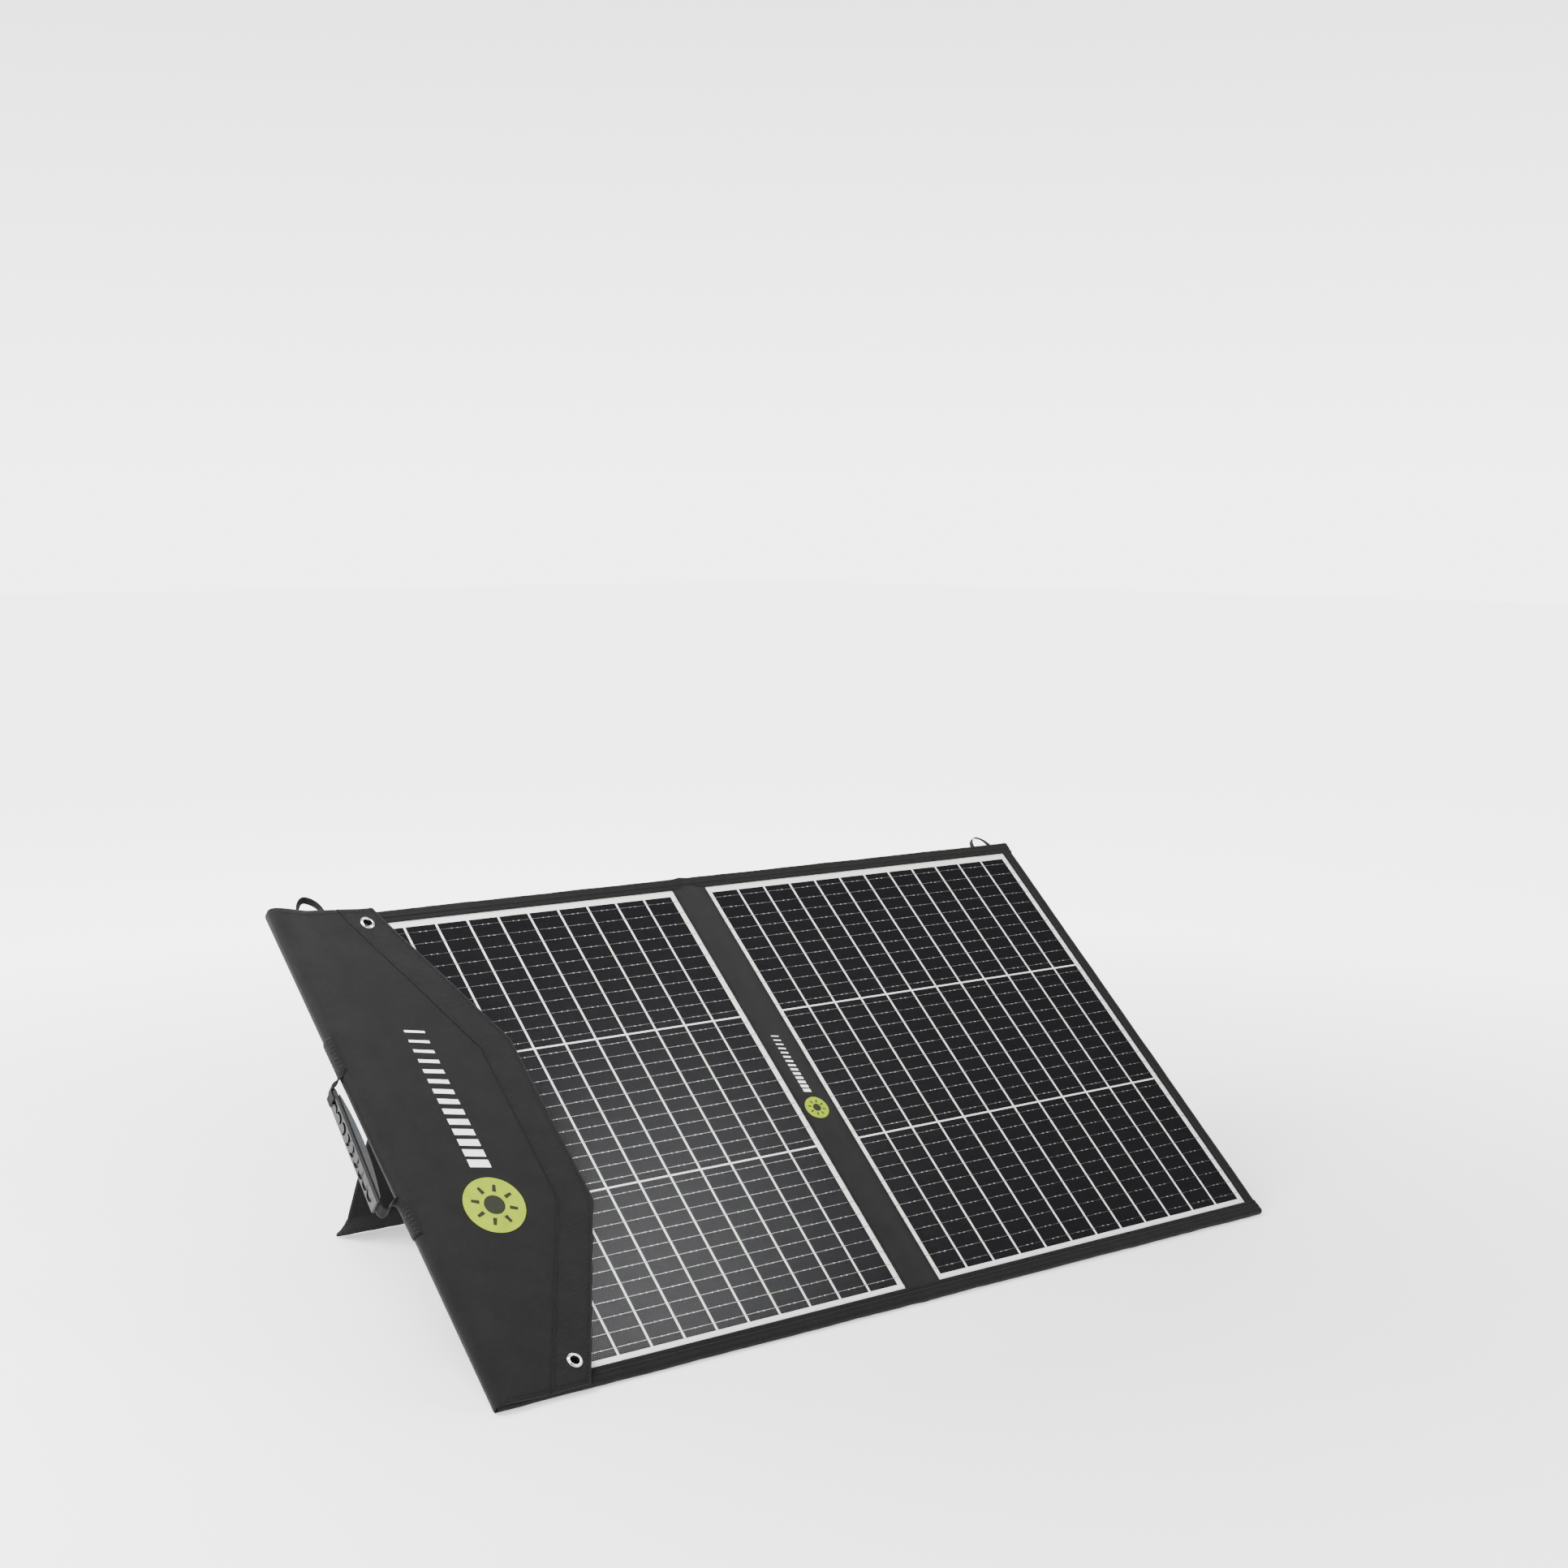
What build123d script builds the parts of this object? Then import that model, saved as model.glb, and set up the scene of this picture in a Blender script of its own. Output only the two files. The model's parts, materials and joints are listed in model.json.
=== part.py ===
"""Folding solar panel bag with two modules, a cover flap, a carry handle and two rear stands.

Millimetres, +Z up. The panel stands open on level ground: +X runs along its width, +Y goes back
from the lower front edge to the stands, and the origin is on the ground under the middle of the
whole object. On the tilted panel, x is measured from the middle of the spine, y up the slope from
the lower edge, and z out of the module's front face.
"""

import os
from math import cos, radians, sin, tan

from build123d import *

# ---- driving dimensions ------------------------------------------------------------------------
TILT = 40.9                  # slope of the opened panels above the ground, degrees
BAG_HEIGHT = 600.0           # lower edge to upper edge, up the slope
SPINE = 47.0                 # fabric between the two module windows
FLEX = 24.0                  # middle part of the spine that bends
WINDOW_W = 480.0             # visible module, border included
WINDOW_H = 566.0
RIGHT_HEM = 16.0
LEFT_MARGIN = 23.0           # fabric between the left window and the flap's fold
UNDERLAP = 6.0               # module edge held under the fabric
HEM_WALL = 3.0

CELL_W = 36.4                # a 182 mm cell cut in fifths
CELL_H = 182.0
COLUMNS = 12
ROWS = 3
COLUMN_GAP = 2.75
ROW_GAP = 2.2
BORDER_SHIFT_X = -0.4        # the cells sit a little off the window's middle
BORDER_SHIFT_Y = -0.9
WIRES_PER_ROW = 11
WIRE_W = 0.4

# Heights out of the front face.
FABRIC = 0.7                 # front fabric, above the face
FILM = 0.25
WIRE_T = 0.15
CELL_T = 0.2
BACKSHEET_T = 0.8
BOARD_TOP = -1.5
BOARD_BOTTOM = -4.9
BACK_TOP = -5.0
BACK = -6.0                  # rear surface of the bag

# Cover flap, lying on the left panel.
FLAP_FOLD = 527.2            # distance of its fold line from the middle of the spine
FLAP_AXIS_Z = 0.6
FLAP_EDGE = FLAP_FOLD - 0.9  # where the flap's own layers start
FLAP_TOP_W = 118.0
FLAP_MIDDLE_W = 200.0
FLAP_BOTTOM_W = 101.0
FLAP_SLANT_TOP = 405.0       # heights at which the slanted edges meet the straight one
FLAP_SLANT_BOTTOM = 195.0
BAND = 39.0                  # doubled band along the flap's free edges
END_HEM = 5.0                # the flap's board stops this far from its two ends
FOLD_GAP = 42.0              # and this far from its fold, which stays soft
HOOK_Z = 1.1
INNER_Z = 1.7
CORE_Z = 2.6
OUTER_Z = 4.5
FLAP_TOP = 5.5
EYELET_BORE_R = 4.8
EYELET_BARREL_R = 5.5
EYELET_FLANGE_R = 8.0
EYELET_FLANGE_T = 0.8
EYELETS = ((-424.0, 582.0), (-432.0, 27.0))

FOLD_AXIS_Z = 6.5            # the right panel turns about a line this far above the faces

# Carry handle on the flap's fold.
CREASE = 528.0
WEBBING = 16.0
STRAP_T = 1.5
PATCH_Z = -7.0               # lower edge of the sewn webbing
PATCH_TOP = 436.0
PATCH_UPPER_END = 390.0
PATCH_LOWER_END = 240.0
PATCH_BOTTOM = 194.0
GRIP_MIDDLE = 308.0
GRIP_LENGTH = 138.0
GRIP_REACH = 21.5            # outer face of the grip beyond the fold
GRIP_WIDTH = 17.0
GRIP_Z = -5.5
GRIP_TURN = 3.1              # lower end stands further out, degrees
OUTER_SHELL = 3.2
STRAP_SLOT = 1.9
INNER_END = 0.9
RECESSES = 9                 # round finger recesses along the grip
RECESS_PITCH = 13.5
RECESS_R = 6.6
RECESS_DEPTH = 1.5
PIN_R = 0.8                  # small pin holes beside them
INNER_BULGE = 6.4

# Rear stands.
STAND_W = 260.0
STAND_MIDDLE = 263.5         # from the middle of the spine
STAND_HINGE = 521.0          # height of the hinge line up the slope
STAND_AXIS_Z = BACK - 3.2
STAND_ANGLE = 63.1           # slope of the opened stand, degrees
STAND_T = 4.0
STAND_TOP_GAP = 2.0
STAND_RIM = 3.0
STAND_SKIN = 0.7
FOOT_LENGTH = 42.0
FOOT_FLARE = 20.0            # the soft foot bends back by this much, degrees
FOOT_R = 1.5
TAPE_W = 26.0
TAPE_T = 0.8
LIMITER_W = 20.0
LIMITER_T = 1.2
LIMITER_LOW = 150.0          # strap's end on the panel, up the slope
LIMITER_DOWN = 250.0         # strap's end on the stand, down from the hinge

# Junction box on the rear of the left panel.
BOX_X = -74.0
BOX_Y = 490.0
BOX_W = 84.0
BOX_H = 62.0
BOX_BASE = 13.0
BOX_LID = 3.5
BOX_WALL = 2.5
GLAND_R = 6.0
GLAND_BORE_R = 3.0

# ---- derived places ----------------------------------------------------------------------------
WINDOW_X = SPINE / 2 + WINDOW_W / 2
WINDOW_Y = 17.0 + WINDOW_H / 2
RIGHT_EDGE = SPINE / 2 + WINDOW_W + RIGHT_HEM
LEFT_EDGE = -(SPINE / 2 + WINDOW_W + LEFT_MARGIN)

HINGE_HEIGHT = STAND_HINGE * sin(radians(TILT)) + (STAND_AXIS_Z - BACK) * cos(radians(TILT))
HINGE_BACK = STAND_HINGE * cos(radians(TILT)) - (STAND_AXIS_Z - BACK) * sin(radians(TILT))
FOOT_DOWN = FOOT_LENGTH * cos(radians(FOOT_FLARE))
FOOT_OUT = FOOT_LENGTH * sin(radians(FOOT_FLARE))
STAND_LENGTH = (HINGE_HEIGHT + FOOT_OUT * cos(radians(STAND_ANGLE)) - FOOT_R) / sin(
    radians(STAND_ANGLE)
) - FOOT_DOWN
FOOT_BACK = (
    HINGE_BACK
    + (STAND_LENGTH + FOOT_DOWN) * cos(radians(STAND_ANGLE))
    + FOOT_OUT * sin(radians(STAND_ANGLE))
    + FOOT_R
)
FRONT = -(FLAP_TOP - BACK) * sin(radians(TILT))
GRIP_OUTER_X = -(CREASE + GRIP_REACH + GRIP_LENGTH / 2 * sin(radians(GRIP_TURN)))

ORIGIN_X = (RIGHT_EDGE + GRIP_OUTER_X) / 2
ORIGIN_Y = (FRONT + FOOT_BACK) / 2

PANEL = Plane(
    origin=(-ORIGIN_X, -ORIGIN_Y + BACK * sin(radians(TILT)), -BACK * cos(radians(TILT))),
    x_dir=(1, 0, 0),
    z_dir=(0, -sin(radians(TILT)), cos(radians(TILT))),
)
# x along the hinge, y down the stand, z out of its rear face.
STAND = Plane(
    origin=(-ORIGIN_X, HINGE_BACK - ORIGIN_Y, HINGE_HEIGHT),
    x_dir=(1, 0, 0),
    z_dir=(0, sin(radians(STAND_ANGLE)), cos(radians(STAND_ANGLE))),
)


def write(piece, name):
    """Label a finished piece and write it to its own file."""
    piece.part.label = name
    export_step(piece.part, f"parts/{name}.step")


os.makedirs("parts", exist_ok=True)

# ---- the two panels ----------------------------------------------------------------------------
for side, sign, outer_edge in (("left", -1, LEFT_EDGE), ("right", 1, RIGHT_EDGE)):
    window_x = sign * WINDOW_X
    inner_edge = sign * FLEX / 2
    bag_x = (inner_edge + outer_edge) / 2
    bag_w = abs(outer_edge - inner_edge)
    cells_x = window_x + BORDER_SHIFT_X
    cells_y = WINDOW_Y + BORDER_SHIFT_Y
    film_bottom = -FILM
    cell_top = film_bottom - WIRE_T
    cell_bottom = cell_top - CELL_T

    # Clear embossed film over the whole module.
    with BuildPart() as front_film:
        with BuildSketch(PANEL.offset(film_bottom)):
            with Locations((window_x, WINDOW_Y)):
                Rectangle(WINDOW_W + 2 * UNDERLAP, WINDOW_H + 2 * UNDERLAP)
        extrude(amount=FILM)
    write(front_film, f"{side}_front_film")

    # Round wires that join the cell strips, eleven to a row.
    with BuildPart() as cell_wires:
        with BuildSketch(PANEL.offset(cell_top)):
            with Locations((window_x, cells_y)):
                with GridLocations(1, CELL_H + ROW_GAP, 1, ROWS):
                    with GridLocations(1, CELL_H / WIRES_PER_ROW, 1, WIRES_PER_ROW):
                        Rectangle(WINDOW_W - 2, WIRE_W)
        extrude(amount=WIRE_T)
    write(cell_wires, f"{side}_cell_wires")

    # Cell strips.
    with BuildPart() as cells:
        with BuildSketch(PANEL.offset(cell_bottom)):
            with Locations((cells_x, cells_y)):
                with GridLocations(CELL_W + COLUMN_GAP, CELL_H + ROW_GAP, COLUMNS, ROWS):
                    Rectangle(CELL_W, CELL_H)
        extrude(amount=CELL_T)
    write(cells, f"{side}_cells")

    # White backsheet.
    with BuildPart() as backsheet:
        with BuildSketch(PANEL.offset(cell_bottom - BACKSHEET_T)):
            with Locations((window_x, WINDOW_Y)):
                Rectangle(WINDOW_W + 2 * UNDERLAP, WINDOW_H + 2 * UNDERLAP)
        extrude(amount=BACKSHEET_T)
    write(backsheet, f"{side}_backsheet")

    # Stiff board inside the bag, behind the module.
    with BuildPart() as stiffener_board:
        with BuildSketch(PANEL.offset(BOARD_BOTTOM)):
            with Locations((window_x, BAG_HEIGHT / 2)):
                Rectangle(WINDOW_W + 20, BAG_HEIGHT - 12)
        extrude(amount=BOARD_TOP - BOARD_BOTTOM)
    write(stiffener_board, f"{side}_stiffener_board")

    # Front fabric: a border round the window, turned down over the board on its outer edges.
    with BuildPart() as front_frame:
        with BuildSketch(PANEL):
            with Locations((bag_x, BAG_HEIGHT / 2)):
                Rectangle(bag_w, BAG_HEIGHT)
            with Locations((window_x, WINDOW_Y)):
                Rectangle(WINDOW_W, WINDOW_H, mode=Mode.SUBTRACT)
        extrude(amount=FABRIC)
        with BuildSketch(PANEL.offset(BACK_TOP)):
            with Locations((bag_x, BAG_HEIGHT / 2)):
                Rectangle(bag_w, BAG_HEIGHT)
            with Locations((bag_x - sign * HEM_WALL, BAG_HEIGHT / 2)):
                Rectangle(bag_w, BAG_HEIGHT - 2 * HEM_WALL, mode=Mode.SUBTRACT)
        extrude(amount=-BACK_TOP)
    write(front_frame, f"{side}_front_frame")

    # Rear fabric.
    with BuildPart() as back_fabric:
        with BuildSketch(PANEL.offset(BACK)):
            with Locations((bag_x, BAG_HEIGHT / 2)):
                Rectangle(bag_w, BAG_HEIGHT)
        extrude(amount=BACK_TOP - BACK)
    write(back_fabric, f"{side}_back_fabric")

# ---- webbing loops on the upper edge -----------------------------------------------------------
for side, loop_x, loop_w, loop_h in (("left", -480.0, 34.0, 18.0), ("right", 477.5, 29.0, 16.0)):
    tape = 1.2
    with BuildPart() as corner_loop:
        with BuildSketch(PANEL.offset(BACK + 0.5)):
            with BuildLine():
                Spline(
                    (loop_x - loop_w / 2, BAG_HEIGHT),
                    (loop_x, BAG_HEIGHT + loop_h),
                    (loop_x + loop_w / 2, BAG_HEIGHT),
                    tangents=((0.35, 1), (0.35, -1)),
                )
                Line((loop_x + loop_w / 2, BAG_HEIGHT), (loop_x - loop_w / 2, BAG_HEIGHT))
            make_face()
            with BuildLine():
                Spline(
                    (loop_x - loop_w / 2 + tape, BAG_HEIGHT),
                    (loop_x, BAG_HEIGHT + loop_h - tape),
                    (loop_x + loop_w / 2 - tape, BAG_HEIGHT),
                    tangents=((0.35, 1), (0.35, -1)),
                )
                Line(
                    (loop_x + loop_w / 2 - tape, BAG_HEIGHT),
                    (loop_x - loop_w / 2 + tape, BAG_HEIGHT),
                )
            make_face(mode=Mode.SUBTRACT)
        extrude(amount=8.0)
    write(corner_loop, f"{side}_corner_loop")

# ---- spine between the panels ------------------------------------------------------------------
with BuildPart() as spine_front_strip:
    with BuildSketch(PANEL):
        with Locations((0, BAG_HEIGHT / 2)):
            Rectangle(FLEX, BAG_HEIGHT - 2)
    extrude(amount=FABRIC)
write(spine_front_strip, "spine_front_strip")

with BuildPart() as spine_back_strip:
    with BuildSketch(PANEL.offset(BACK)):
        with Locations((0, BAG_HEIGHT / 2)):
            Rectangle(FLEX, BAG_HEIGHT - 2)
    extrude(amount=BACK_TOP - BACK)
write(spine_back_strip, "spine_back_strip")

# Flat leads that join the two modules across the spine, inside it.
with BuildPart() as link_leads:
    with BuildSketch(PANEL.offset(-3.6)):
        with Locations((0, 520), (0, 546)):
            Rectangle(FLEX + 3, 12)
    extrude(amount=1.2)
write(link_leads, "link_leads")

# ---- cover flap --------------------------------------------------------------------------------


def flap_outline(inset):
    """The flap's six-sided outline; inset moves the free edges in and leaves the fold edge."""
    lean_top = (BAG_HEIGHT - FLAP_SLANT_TOP) / (FLAP_MIDDLE_W - FLAP_TOP_W)
    lean_bottom = FLAP_SLANT_BOTTOM / (FLAP_MIDDLE_W - FLAP_BOTTOM_W)
    rise_top = inset / (lean_top + (1 + lean_top**2) ** 0.5)
    rise_bottom = inset / (lean_bottom + (1 + lean_bottom**2) ** 0.5)
    across_top = inset * (1 + lean_top**-2) ** 0.5
    across_bottom = inset * (1 + lean_bottom**-2) ** 0.5
    Polyline(
        (-FLAP_EDGE, 0),
        (-FLAP_FOLD + FLAP_BOTTOM_W - across_bottom, 0),
        (-FLAP_FOLD + FLAP_MIDDLE_W - inset, FLAP_SLANT_BOTTOM + rise_bottom),
        (-FLAP_FOLD + FLAP_MIDDLE_W - inset, FLAP_SLANT_TOP - rise_top),
        (-FLAP_FOLD + FLAP_TOP_W - across_top, BAG_HEIGHT),
        (-FLAP_EDGE, BAG_HEIGHT),
        close=True,
    )


# Outer fabric, in one piece over the whole flap.
with BuildPart() as flap_outer_fabric:
    with BuildSketch(PANEL.offset(OUTER_Z)):
        with BuildLine():
            flap_outline(0)
        make_face()
        with Locations(*EYELETS):
            Circle(EYELET_BARREL_R, mode=Mode.SUBTRACT)
    extrude(amount=FLAP_TOP - OUTER_Z)
write(flap_outer_fabric, "flap_outer_fabric")

# Inner fabric, towards the module.
with BuildPart() as flap_inner_fabric:
    with BuildSketch(PANEL.offset(INNER_Z)):
        with BuildLine():
            flap_outline(0)
        make_face()
        with Locations(*EYELETS):
            Circle(EYELET_BARREL_R, mode=Mode.SUBTRACT)
    extrude(amount=CORE_Z - 0.1 - INNER_Z)
write(flap_inner_fabric, "flap_inner_fabric")

# Stiff sheet inside the flap, up to the seam.
with BuildPart() as flap_board:
    with BuildSketch(PANEL.offset(CORE_Z)):
        with BuildLine():
            flap_outline(BAND + 0.5)
        make_face()
        with Locations((-FLAP_FOLD, 0), (-FLAP_FOLD, BAG_HEIGHT)):
            Rectangle(2 * FLAP_MIDDLE_W, 2 * END_HEM, mode=Mode.SUBTRACT)
        with Locations((-FLAP_FOLD, BAG_HEIGHT / 2)):
            Rectangle(2 * FOLD_GAP, BAG_HEIGHT, mode=Mode.SUBTRACT)
    extrude(amount=OUTER_Z - 0.1 - CORE_Z)
write(flap_board, "flap_board")

# Doubled band between the seam and the free edge.
with BuildPart() as flap_edge_band:
    with BuildSketch(PANEL.offset(CORE_Z)):
        with BuildLine():
            flap_outline(0)
        make_face()
        with BuildLine():
            flap_outline(BAND)
        make_face(mode=Mode.SUBTRACT)
        with Locations(*EYELETS):
            Circle(EYELET_BARREL_R, mode=Mode.SUBTRACT)
    extrude(amount=OUTER_Z - 0.1 - CORE_Z)
write(flap_edge_band, "flap_edge_band")

# Hook tape under the band, along the straight edge.
with BuildPart() as flap_hook_strip:
    with BuildSketch(PANEL.offset(HOOK_Z)):
        with Locations((-FLAP_FOLD + FLAP_MIDDLE_W - BAND / 2, BAG_HEIGHT / 2)):
            Rectangle(25, 180)
    extrude(amount=INNER_Z - HOOK_Z)
write(flap_hook_strip, "flap_hook_strip")

# Eyelets: a rolled flange and a barrel through all the layers.
with BuildPart() as flap_eyelets:
    with BuildSketch(PANEL.offset(FLAP_TOP)):
        with Locations(*EYELETS):
            Circle(EYELET_FLANGE_R)
    extrude(amount=EYELET_FLANGE_T)
    rolled = flap_eyelets.edges().filter_by(GeomType.CIRCLE)
    fillet(rolled.group_by(Axis(PANEL.origin, PANEL.z_dir))[-1], radius=EYELET_FLANGE_T * 0.8)
    with BuildSketch(PANEL.offset(HOOK_Z)):
        with Locations(*EYELETS):
            Circle(EYELET_BARREL_R)
    extrude(amount=FLAP_TOP - HOOK_Z)
    with BuildSketch(PANEL.offset(HOOK_Z)):
        with Locations(*EYELETS):
            Circle(EYELET_BORE_R)
    extrude(amount=FLAP_TOP + EYELET_FLANGE_T - HOOK_Z, mode=Mode.SUBTRACT)
write(flap_eyelets, "flap_eyelets")

with BuildPart() as eyelet_washers:
    with BuildSketch(PANEL.offset(HOOK_Z)):
        with Locations(*EYELETS):
            Circle(EYELET_FLANGE_R)
            Circle(EYELET_BARREL_R, mode=Mode.SUBTRACT)
    extrude(amount=INNER_Z - HOOK_Z)
write(eyelet_washers, "eyelet_washers")

# Fabric that turns from the panel's left edge over into the flap.
with BuildPart() as flap_fold_fabric:
    with BuildSketch(PANEL.offset(BACK)):
        with Locations((-CREASE + 0.6, BAG_HEIGHT / 2)):
            Rectangle(1.2, BAG_HEIGHT - 6)
    extrude(amount=FLAP_TOP - BACK)
write(flap_fold_fabric, "flap_fold_fabric")

# ---- carry handle ------------------------------------------------------------------------------
# x towards the bag, y up the slope, z out of the face; the origin is on the grip's outer face.
GRIP = Plane(
    origin=PANEL.from_local_coords(
        Vector(-(CREASE + GRIP_REACH), GRIP_MIDDLE, GRIP_Z - GRIP_WIDTH / 2)
    ),
    x_dir=PANEL.x_dir * cos(radians(GRIP_TURN)) - PANEL.y_dir * sin(radians(GRIP_TURN)),
    z_dir=PANEL.z_dir,
)
SLOT_MIDDLE = OUTER_SHELL + STRAP_SLOT / 2
STRAP_X = -CREASE - 0.4 - STRAP_T / 2
SLOPE_SHIFT = GRIP_LENGTH / 2 * tan(radians(GRIP_TURN))
UPPER_SLOT_X = -(CREASE + GRIP_REACH) + SLOT_MIDDLE + SLOPE_SHIFT
LOWER_SLOT_X = -(CREASE + GRIP_REACH) + SLOT_MIDDLE - SLOPE_SHIFT
SLOT_TOP_Y = GRIP_MIDDLE + GRIP_LENGTH / 2
SLOT_BOTTOM_Y = GRIP_MIDDLE - GRIP_LENGTH / 2

# One webbing strap: sewn flat at both ends, with a free bend into each end of the grip.
with BuildPart() as carry_strap:
    with BuildSketch(PANEL.offset(PATCH_Z)):
        with BuildLine() as strap_path:
            upper_patch = Line((STRAP_X, PATCH_TOP), (STRAP_X, PATCH_UPPER_END))
            upper_bend = Bezier(
                upper_patch @ 1,
                (STRAP_X - 5, PATCH_UPPER_END - 6),
                (UPPER_SLOT_X + 0.4, SLOT_TOP_Y + 7),
                (UPPER_SLOT_X, SLOT_TOP_Y),
            )
            inside = Line(upper_bend @ 1, (LOWER_SLOT_X, SLOT_BOTTOM_Y))
            lower_bend = Bezier(
                inside @ 1,
                (LOWER_SLOT_X - 0.5, SLOT_BOTTOM_Y - 9),
                (LOWER_SLOT_X + 7, SLOT_BOTTOM_Y - 10),
                (LOWER_SLOT_X + 11, SLOT_BOTTOM_Y - 3),
            )
            lower_wave = Bezier(
                lower_bend @ 1,
                (LOWER_SLOT_X + 15, SLOT_BOTTOM_Y + 4),
                (STRAP_X, SLOT_BOTTOM_Y + 5),
                (STRAP_X, PATCH_LOWER_END - 8),
            )
            lower_patch = Line(lower_wave @ 1, (STRAP_X, PATCH_BOTTOM))
        trace(line_width=STRAP_T)
    extrude(amount=WEBBING)
write(carry_strap, "carry_strap")

# Outer half of the grip, with round finger recesses along its outer face.
with BuildPart() as grip_outer_shell:
    with BuildSketch(GRIP):
        with Locations((OUTER_SHELL / 2, 0)):
            RectangleRounded(OUTER_SHELL, GRIP_LENGTH, 1.4)
    extrude(amount=GRIP_WIDTH)
    recess_face = Plane(origin=GRIP.from_local_coords(Vector(0, 0, GRIP_WIDTH / 2)),
                        x_dir=GRIP.y_dir, z_dir=-GRIP.x_dir)
    for i in range(RECESSES):
        # Each recess is a crescent; they turn from the front edge to the rear one on the way down.
        middle = RECESS_PITCH * ((RECESSES - 1) / 2 - i)
        turn = radians(90 - 180 * i / (RECESSES - 1))
        with BuildSketch(recess_face):
            with Locations((middle, 0)):
                Circle(RECESS_R)
            with Locations((middle + 4.2 * cos(turn), 4.2 * sin(turn))):
                Circle(RECESS_R - 0.9, mode=Mode.SUBTRACT)
        extrude(amount=-RECESS_DEPTH, mode=Mode.SUBTRACT)
    with BuildSketch(recess_face):
        with Locations((62.5, -5.0), (34.0, -6.9), (6.8, -6.9), (-47.3, -6.9)):
            Circle(PIN_R)
    extrude(amount=-RECESS_DEPTH, mode=Mode.SUBTRACT)
write(grip_outer_shell, "grip_outer_shell")

# Inner half: flat against the strap, bulging towards the bag for the palm.
INNER_HALF = GRIP_LENGTH / 2 - 6
INNER_FLAT = OUTER_SHELL + STRAP_SLOT
with BuildPart() as grip_inner_shell:
    with BuildSketch(GRIP):
        with BuildLine():
            Polyline(
                (INNER_FLAT + INNER_END, -INNER_HALF),
                (INNER_FLAT, -INNER_HALF),
                (INNER_FLAT, INNER_HALF),
                (INNER_FLAT + INNER_END, INNER_HALF),
            )
            ThreePointArc(
                (INNER_FLAT + INNER_END, INNER_HALF),
                (INNER_FLAT + INNER_BULGE, 0),
                (INNER_FLAT + INNER_END, -INNER_HALF),
            )
        make_face()
    extrude(amount=GRIP_WIDTH)
write(grip_inner_shell, "grip_inner_shell")

# ---- rear stands -------------------------------------------------------------------------------
for side, sign in (("left", -1), ("right", 1)):
    stand_x = sign * STAND_MIDDLE
    stand_y = (STAND_TOP_GAP + STAND_LENGTH) / 2
    stand_h = STAND_LENGTH - STAND_TOP_GAP
    core_bottom = -STAND_T / 2 + STAND_SKIN
    core_t = STAND_T - 2 * STAND_SKIN

    # Stiff board.
    with BuildPart() as stand_board:
        with BuildSketch(STAND.offset(core_bottom)):
            with Locations((stand_x, stand_y)):
                Rectangle(STAND_W - 2 * STAND_RIM, stand_h - 2 * STAND_RIM)
        extrude(amount=core_t)
    write(stand_board, f"{side}_stand_board")

    # Rear cover with the hem round the board.
    with BuildPart() as stand_rear_cover:
        with BuildSketch(STAND.offset(STAND_T / 2 - STAND_SKIN)):
            with Locations((stand_x, stand_y)):
                Rectangle(STAND_W, stand_h)
        extrude(amount=STAND_SKIN)
        with BuildSketch(STAND.offset(core_bottom)):
            with Locations((stand_x, stand_y)):
                Rectangle(STAND_W, stand_h)
                Rectangle(STAND_W - 2 * STAND_RIM, stand_h - 2 * STAND_RIM, mode=Mode.SUBTRACT)
        extrude(amount=core_t)
    write(stand_rear_cover, f"{side}_stand_rear_cover")

    # Front cover, towards the panel.
    with BuildPart() as stand_front_cover:
        with BuildSketch(STAND.offset(-STAND_T / 2)):
            with Locations((stand_x, stand_y)):
                Rectangle(STAND_W, stand_h)
        extrude(amount=STAND_SKIN)
    write(stand_front_cover, f"{side}_stand_front_cover")

    # Soft foot hem that bends back where it meets the ground.
    stand_side = Plane(
        origin=STAND.from_local_coords(Vector(stand_x - STAND_W / 2, 0, 0)),
        x_dir=STAND.y_dir,
        z_dir=(1, 0, 0),
    )
    with BuildPart() as stand_foot:
        with BuildSketch(stand_side):
            with BuildLine():
                tip = (STAND_LENGTH + FOOT_DOWN, FOOT_OUT)
                side_x = FOOT_R * sin(radians(FOOT_FLARE))
                side_y = FOOT_R * cos(radians(FOOT_FLARE))
                Line((STAND_LENGTH, -FOOT_R), (STAND_LENGTH, FOOT_R))
                Line((STAND_LENGTH, FOOT_R), (tip[0] - side_x, tip[1] + side_y))
                ThreePointArc(
                    (tip[0] - side_x, tip[1] + side_y),
                    (tip[0] + side_y, tip[1] + side_x),
                    (tip[0] + side_x, tip[1] - side_y),
                )
                Line((tip[0] + side_x, tip[1] - side_y), (STAND_LENGTH, -FOOT_R))
            make_face()
        extrude(amount=STAND_W)
    write(stand_foot, f"{side}_stand_foot")

    # Tape that hinges the stand on the rear of the panel.
    with BuildPart() as hinge_tape:
        with BuildSketch(PANEL.offset(BACK - TAPE_T)):
            with Locations((stand_x, STAND_HINGE + 1 + TAPE_W / 2)):
                Rectangle(STAND_W, TAPE_W)
        extrude(amount=TAPE_T)
    write(hinge_tape, f"{side}_stand_hinge_tape")

    # Webbing that stops the stand at its opened angle, pulled straight.
    strap_start = PANEL.from_local_coords(Vector(stand_x, LIMITER_LOW, BACK - 1.5))
    strap_end = STAND.from_local_coords(Vector(stand_x, LIMITER_DOWN, -STAND_T / 2 - 1.5))
    strap_dir = strap_end - strap_start
    strap_plane = Plane(origin=strap_start, x_dir=(1, 0, 0), z_dir=strap_dir)
    with BuildPart() as stand_limiter:
        with BuildSketch(strap_plane):
            Rectangle(LIMITER_W, LIMITER_T)
        extrude(amount=strap_dir.length)
    write(stand_limiter, f"{side}_stand_limiter")

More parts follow.
